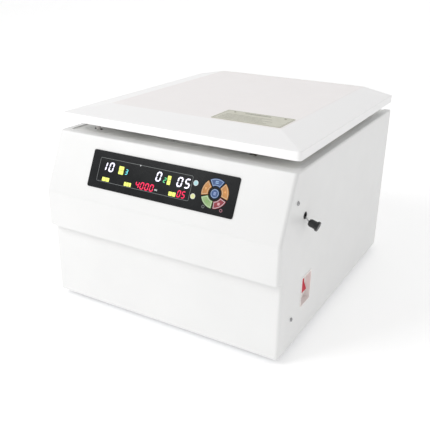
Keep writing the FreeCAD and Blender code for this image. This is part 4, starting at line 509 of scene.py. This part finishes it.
# ---------------------------------------------------------------- display numerals
SEGMENTS = {
    "0": "abcdef", "1": "bc", "2": "abged", "3": "abgcd", "4": "fgbc", "5": "afgcd",
}
SLANT = math.tan(math.radians(8))


def bar(x0, y0, x1, y1, thick):
    """One lamp segment: a bar with pointed ends, upright or level."""
    half = thick / 2
    if x0 == x1:
        return [(x0, y0), (x0 + half, y0 + half), (x0 + half, y1 - half),
                (x0, y1), (x0 - half, y1 - half), (x0 - half, y0 + half)]
    return [(x0, y0), (x0 + half, y0 - half), (x1 - half, y0 - half),
            (x1, y0), (x1 - half, y0 + half), (x0 + half, y0 + half)]


def numeral(character, x, y, width, height):
    """The lit segments of one leaning numeral."""
    thick = 0.24 * width
    gap = 0.02 * width
    left, right = thick / 2, width - thick / 2
    low, middle, high = thick / 2, height / 2, height - thick / 2
    spans = {
        "a": (left, high, right, high), "b": (right, middle, right, high),
        "c": (right, low, right, middle), "d": (left, low, right, low),
        "e": (left, low, left, middle), "f": (left, middle, left, high),
        "g": (left, middle, right, middle),
    }
    outlines = []
    for name in SEGMENTS[character]:
        x0, y0, x1, y1 = spans[name]
        if x0 == x1:
            points = bar(x0, y0 + gap, x1, y1 - gap, thick)
        else:
            points = bar(x0 + gap, y0, x1 - gap, y1, thick)
        outlines.append([(x + u + v * SLANT, y + v) for u, v in points])
    return outlines


def numerals(text, x, y, width, height, pitch):
    """Outlines of a row of numerals."""
    return [o for i, c in enumerate(text) for o in numeral(c, x + i * pitch, y, width, height)]


# name: text, x, y above the panel's lower edge, numeral width, height, pitch, look
READOUTS = {
    "readout_ramp": ("10", -104.2, 27.0, 8.6, 14.2, 12.6, lit_white),
    "readout_program": ("3", -61.2, 28.0, 4.6, 8.0, 6.0, lit_cyan),
    "readout_speed": ("4000", -39.0, 12.0, 6.4, 10.6, 8.3, lit_red),
    "readout_mode": ("0", -7.5, 28.2, 8.6, 14.2, 12.6, lit_white),
    "readout_step": ("2", 6.0, 28.4, 4.4, 7.6, 6.0, lit_green),
    "readout_minutes": ("05", 28.2, 27.0, 8.6, 14.2, 12.4, lit_white),
    "readout_seconds": ("05", 32.4, 12.6, 5.6, 10.2, 7.4, lit_red),
}
for name, (text, x, y, width, height, pitch, look) in READOUTS.items():
    shapes = numerals(text, x, y, width, height, pitch)
    thin_piece(name, PANEL, look, "chassis", plates=shapes)


# ---------------------------------------------------------------- display legends and frame
def tiles(x0, y0, x1, y1, columns, rows, gap=0.55, radius=0.6):
    """A block of round-cornered lamp tiles."""
    wide = (x1 - x0 - gap * (columns - 1)) / columns
    tall = (y1 - y0 - gap * (rows - 1)) / rows
    found = []
    for i in range(columns):
        for j in range(rows):
            x, y = x0 + i * (wide + gap), y0 + j * (tall + gap)
            found.append(rounded_rectangle(x, y, x + wide, y + tall, radius))
    return found


LEGENDS = {
    "legend_ramp": (-72.4, 26.8, -63.8, 38.6, 1, 2),
    "legend_low_left": (-98.8, 12.0, -85.8, 17.8, 2, 1),
    "legend_speed": (-58.2, 11.8, -45.8, 17.6, 3, 1),
    "legend_step": (12.8, 26.8, 18.4, 39.6, 1, 2),
    "legend_minutes": (19.4, 12.4, 30.9, 18.2, 2, 1),
}
for name, (x0, y0, x1, y1, columns, rows) in LEGENDS.items():
    shapes = tiles(x0, y0, x1, y1, columns, rows)
    thin_piece(name, PANEL, lit_yellow, "chassis", plates=shapes)


def window_frame():
    """Thin printed line around the readouts, and its small pointer."""
    left, low, right, high, corner = -109.0, 10.6, 53.0, 46.3, 2.4
    line = 0.65
    outer = rounded_rectangle(left, low, right, high, corner)
    inner = rounded_rectangle(left + line, low + line, right - line, high - line, corner - line)
    thin_piece("window_line", PANEL, ink_grey, "chassis", bands=[(outer, inner)], high=0.05)
    pointer_x, pointer_y, pointer_radius = -36.6, 45.4, 1.5
    pointer = regular(pointer_x, pointer_y, pointer_radius, 3, -90)
    thin_piece("window_pointer", PANEL, ink_white, "chassis", plates=[pointer], high=0.08)


def unit_mark():
    """Three small plain strokes where the speed's unit stands."""
    low, high, wide, corner = 14.6, 17.0, 1.0, 0.3
    strokes = [rounded_rectangle(x, low, x + wide, high, corner) for x in (-4.6, -2.9, -1.2)]
    thin_piece("unit_mark", PANEL, ink_white, "chassis", plates=strokes, high=0.08)


def round_lamp(name, x, y, ink):
    """Round indicator: a tinted disc inside a pale ring."""
    radius, rim = 3.9, 0.6
    ring = [(circle(x, y, radius), circle(x, y, radius - rim))]
    thin_piece(name + "_ring", PANEL, ink_white, "chassis", bands=ring, high=0.16)
    thin_piece(name, PANEL, ink, "chassis", plates=[circle(x, y, radius - rim)])


def key_light(name, x, y, ink):
    """Small printed ring beside a key."""
    outer, inner = 2.3, 1.5
    ring = [(circle(x, y, outer), circle(x, y, inner))]
    thin_piece(name, PANEL, ink, "chassis", bands=ring, high=0.08)


window_frame()
unit_mark()
round_lamp("lamp_balance", 58.7, 37.4, ink_sky)
round_lamp("lamp_lid", 58.4, 18.8, ink_straw)
key_light("key_light_start", 77.5, 8.3, ink_grey)
key_light("key_light_stop", 105.2, 8.1, ink_pink)

# ---------------------------------------------------------------- key ring
KEY_X, KEY_Y = 91.0, 28.6
KEY_OUTER, KEY_INNER, KEY_CENTRE = 20.8, 10.3, 6.7
KEY_HALF_ANGLE = 32.5
KEY_SYMBOL_RADIUS = (KEY_OUTER + KEY_INNER) / 2
KEY_ANGLES = {"key_up": 90, "key_mode": 18, "key_stop": -54, "key_start": -126, "key_down": 162}
KEY_RIMS = {
    "key_up": (0.30, 0.40, 0.58), "key_mode": (0.63, 0.45, 0.27), "key_stop": (0.62, 0.50, 0.53),
    "key_start": (0.49, 0.62, 0.43), "key_down": (0.63, 0.43, 0.26), "key_centre": (0.32, 0.42, 0.58),
}
KEY_MARKS = {
    "key_up": (0.28, 0.44, 0.68), "key_mode": (0.74, 0.36, 0.12), "key_stop": (0.64, 0.34, 0.37),
    "key_start": (0.21, 0.42, 0.13), "key_down": (0.74, 0.40, 0.16), "key_centre": (0.32, 0.42, 0.70),
}


def key_plane(node):
    """Flat axes on the outer face of a key, with the origin over the panel's own origin."""
    out, level = main_face(node, PANEL.to_3x3().col[2])
    place = PANEL.copy()
    place.translation = PANEL.translation + out * (level - out.dot(PANEL.translation))
    return place


def level_bars(x, y, count, wide, tall, step):
    """Short level bars above one another."""
    first = y - step * (count - 1) / 2
    left, right = x - wide / 2, x + wide / 2
    half, corner = tall / 2, tall / 2.2
    levels = [first + i * step for i in range(count)]
    return [rounded_rectangle(left, level - half, right, level + half, corner) for level in levels]


def key_symbol(node, x, y):
    """The plain sign on each key."""
    large, small = 2.6, 2.5
    if node == "key_start":
        return [regular(x, y, large, 3, 0)]
    if node == "key_stop":
        return [regular(x, y, large, 4, 45)]
    if node == "key_mode":
        return [regular(x, y, small, 3, 90)]
    if node == "key_down":
        return [regular(x, y, small, 3, -90)]
    if node == "key_up":
        return level_bars(x, y, 2, 5.0, 1.3, 2.2)
    return level_bars(x, y, 3, 4.2, 0.9, 1.6)


def dress_key(node):
    """Raised pale rim and plain sign on one key of the ring."""
    place = key_plane(node)
    rim_inset, rim_width = 0.75, 0.85
    if node == "key_centre":
        x, y = KEY_X, KEY_Y
        outer = circle(x, y, KEY_CENTRE - rim_inset)
        inner = circle(x, y, KEY_CENTRE - rim_inset - rim_width)
    else:
        middle = KEY_ANGLES[node]
        x = KEY_X + KEY_SYMBOL_RADIUS * math.cos(math.radians(middle))
        y = KEY_Y + KEY_SYMBOL_RADIUS * math.sin(math.radians(middle))
        sector = (KEY_X, KEY_Y, KEY_INNER, KEY_OUTER, middle, KEY_HALF_ANGLE)
        outer = ring_sector(*sector, rim_inset)
        inner = ring_sector(*sector, rim_inset + rim_width)
    rim = printed(node + "_rim", KEY_RIMS[node])
    mark = printed(node + "_mark", KEY_MARKS[node])
    thin_piece(node + "_rim", place, rim, node, bands=[(outer, inner)])
    thin_piece(node + "_sign", place, mark, node, plates=key_symbol(node, x, y))


for node in KEY_RIMS:
    dress_key(node)


# ---------------------------------------------------------------- lid label and rating plate
def lid_label_print():
    """Border and plain ruled rows on the lid's label, with no words."""
    width = (label_high.x - label_low.x) / MM
    height = (label_high.y - label_low.y) / MM
    edge, line = 1.6, 0.5
    outer = rounded_rectangle(edge, edge, width - edge, height - edge, 2.0)
    inset = edge + line
    inner = rounded_rectangle(inset, inset, width - inset, height - inset, 2.0 - line)
    thin_piece("label_border", LABEL, ink_dark, "lid", bands=[(outer, inner)], high=0.06)
    rows = []
    margin, pitch, thick = 8.0, 6.0, 1.1
    lengths = [0.82, 0.74, 0.86, 0.66, 0.80]
    for i, share in enumerate(lengths):
        y = margin + i * pitch
        end = margin + share * (width - 2 * margin)
        rows.append(rounded_rectangle(margin, y, end, y + thick, thick / 2.2))
    title = rounded_rectangle(0.3 * width, height - 10.0, 0.68 * width, height - 7.0, 1.2)
    thin_piece("label_rows", LABEL, ink_dark, "lid", plates=rows + [title], high=0.06)


def rating_plate():
    """Small plate on the back with plain ruled boxes in place of its ratings."""
    left, low, width, height = -90.0, 118.0, 66.0, 34.0
    right, high = left + width, low + height
    base = -rear_low.z / MM
    y0, y1 = low + base, high + base
    plate = rounded_rectangle(left, y0, right, y1, 2.0)
    thick = 0.4
    metal = looks["label_metal"]
    thin_piece("rating_plate", REAR, metal, "chassis", plates=[plate], high=thick)
    above = REAR @ Matrix.Translation((0, 0, thick * MM))
    edge, line = 1.4, 0.4
    corner = 1.4
    outer = rounded_rectangle(left + edge, y0 + edge, right - edge, y1 - edge, corner)
    inset = edge + line
    inner = rounded_rectangle(left + inset, y0 + inset, right - inset, y1 - inset, corner - line)
    margin, pitch, height_of_row, ragged = 5, 5, 1, 7
    rows = []
    for i in range(5):
        start = y0 + margin + pitch * i
        end = right - margin - ragged * (i % 3)
        rows.append(rounded_rectangle(left + margin, start, end, start + height_of_row, 0.4))
    frame_line = [(outer, inner)]
    thin_piece("rating_border", above, ink_dark, "chassis", bands=frame_line, high=0.06)
    thin_piece("rating_rows", above, ink_dark, "chassis", plates=rows, high=0.06)


def lid_switch_shade_discs():
    """Two small dark discs, one on each side of the lid switch's sleeve, standing in for the shade at its
    sides: painted shade.
    """
    low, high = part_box("lid_switch_plunger")
    middle = (low + high) / 2
    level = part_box("top_deck")[1].z
    place = Matrix.Translation((middle.x, middle.y, level))
    spacing, radius, tall = 5.6, 1.7, 1.1
    shade_spots = [circle(x, 0.0, radius, 20) for x in (-spacing, spacing)]
    # Black discs beside the sleeve: painted shade.
    dark = looks["knob_black"]
    thin_piece("lid_switch_shade_discs", place, dark, "chassis", plates=shade_spots, high=tall)


lid_label_print()
rating_plate()
lid_switch_shade_discs()


# ---------------------------------------------------------------- stage, light and camera
def soft_light(name, place, aim, width, height, power):
    """A softbox that looks at a point."""
    lamp = bpy.data.lights.new(name, "AREA")
    lamp.shape = "RECTANGLE"
    lamp.size = width
    lamp.size_y = height
    lamp.energy = power
    holder = bpy.data.objects.new(name, lamp)
    holder.location = place
    holder.rotation_euler = (Vector(aim) - Vector(place)).to_track_quat("-Z", "Y").to_euler()
    bpy.context.scene.collection.objects.link(holder)


def make_stage():
    """White paper on the bench, curving up a long way behind the object."""
    half, front, back, rise, bend = 6.0, -6.0, 3.0, 5.0, 1.5
    steps = 10
    angles = [math.radians(90 * i / steps) for i in range(1, steps + 1)]
    profile = [(front, 0.0), (back, 0.0)]
    profile += [(back + bend * math.sin(a), bend - bend * math.cos(a)) for a in angles]
    profile.append((back + bend, rise))
    vertices = [(x, y, z) for y, z in profile for x in (-half, half)]
    faces = [(2 * i, 2 * i + 1, 2 * i + 3, 2 * i + 2) for i in range(len(profile) - 1)]
    mesh = bpy.data.meshes.new("paper_floor")
    mesh.from_pydata(vertices, [], faces)
    mesh.shade_smooth()
    paper = bpy.data.objects.new("paper_floor", mesh)
    bpy.context.scene.collection.objects.link(paper)
    mesh.materials.append(floor_paper("white_paper", (0.93, 0.93, 0.93), 0.31))


def make_world(colour, strength):
    """Even light from all round."""
    world = bpy.data.worlds.new("studio")
    world.use_nodes = True
    background = world.node_tree.nodes["Background"]
    background.inputs["Color"].default_value = (*colour, 1)
    background.inputs["Strength"].default_value = strength
    bpy.context.scene.world = world


def make_camera():
    """Three-quarter view from the front, to the right and a little above."""
    camera = bpy.data.cameras.new("camera")
    camera.sensor_width = 36.0
    camera.lens = 52.2
    holder = bpy.data.objects.new("camera", camera)
    azimuth, elevation, roll = (math.radians(v) for v in (29.67, 22.62, 0.94))
    turn = Matrix.Rotation(azimuth, 4, "Z") @ Matrix.Rotation(-elevation, 4, "X")
    tilt = Matrix.Rotation(-roll, 4, "Y") @ Matrix.Rotation(math.radians(90), 4, "X")
    holder.matrix_world = Matrix.Translation((0.4799, -0.8947, 0.5298)) @ turn @ tilt
    bpy.context.scene.collection.objects.link(holder)
    bpy.context.scene.camera = holder


make_stage()
make_world((1.0, 1.0, 1.0), 0.64)
soft_light("main_softbox", (-1.6, -1.85, 1.9), (0, 0, 0.2), 1.6, 1.2, 38)
make_camera()
bpy.context.scene.view_settings.view_transform = "Standard"
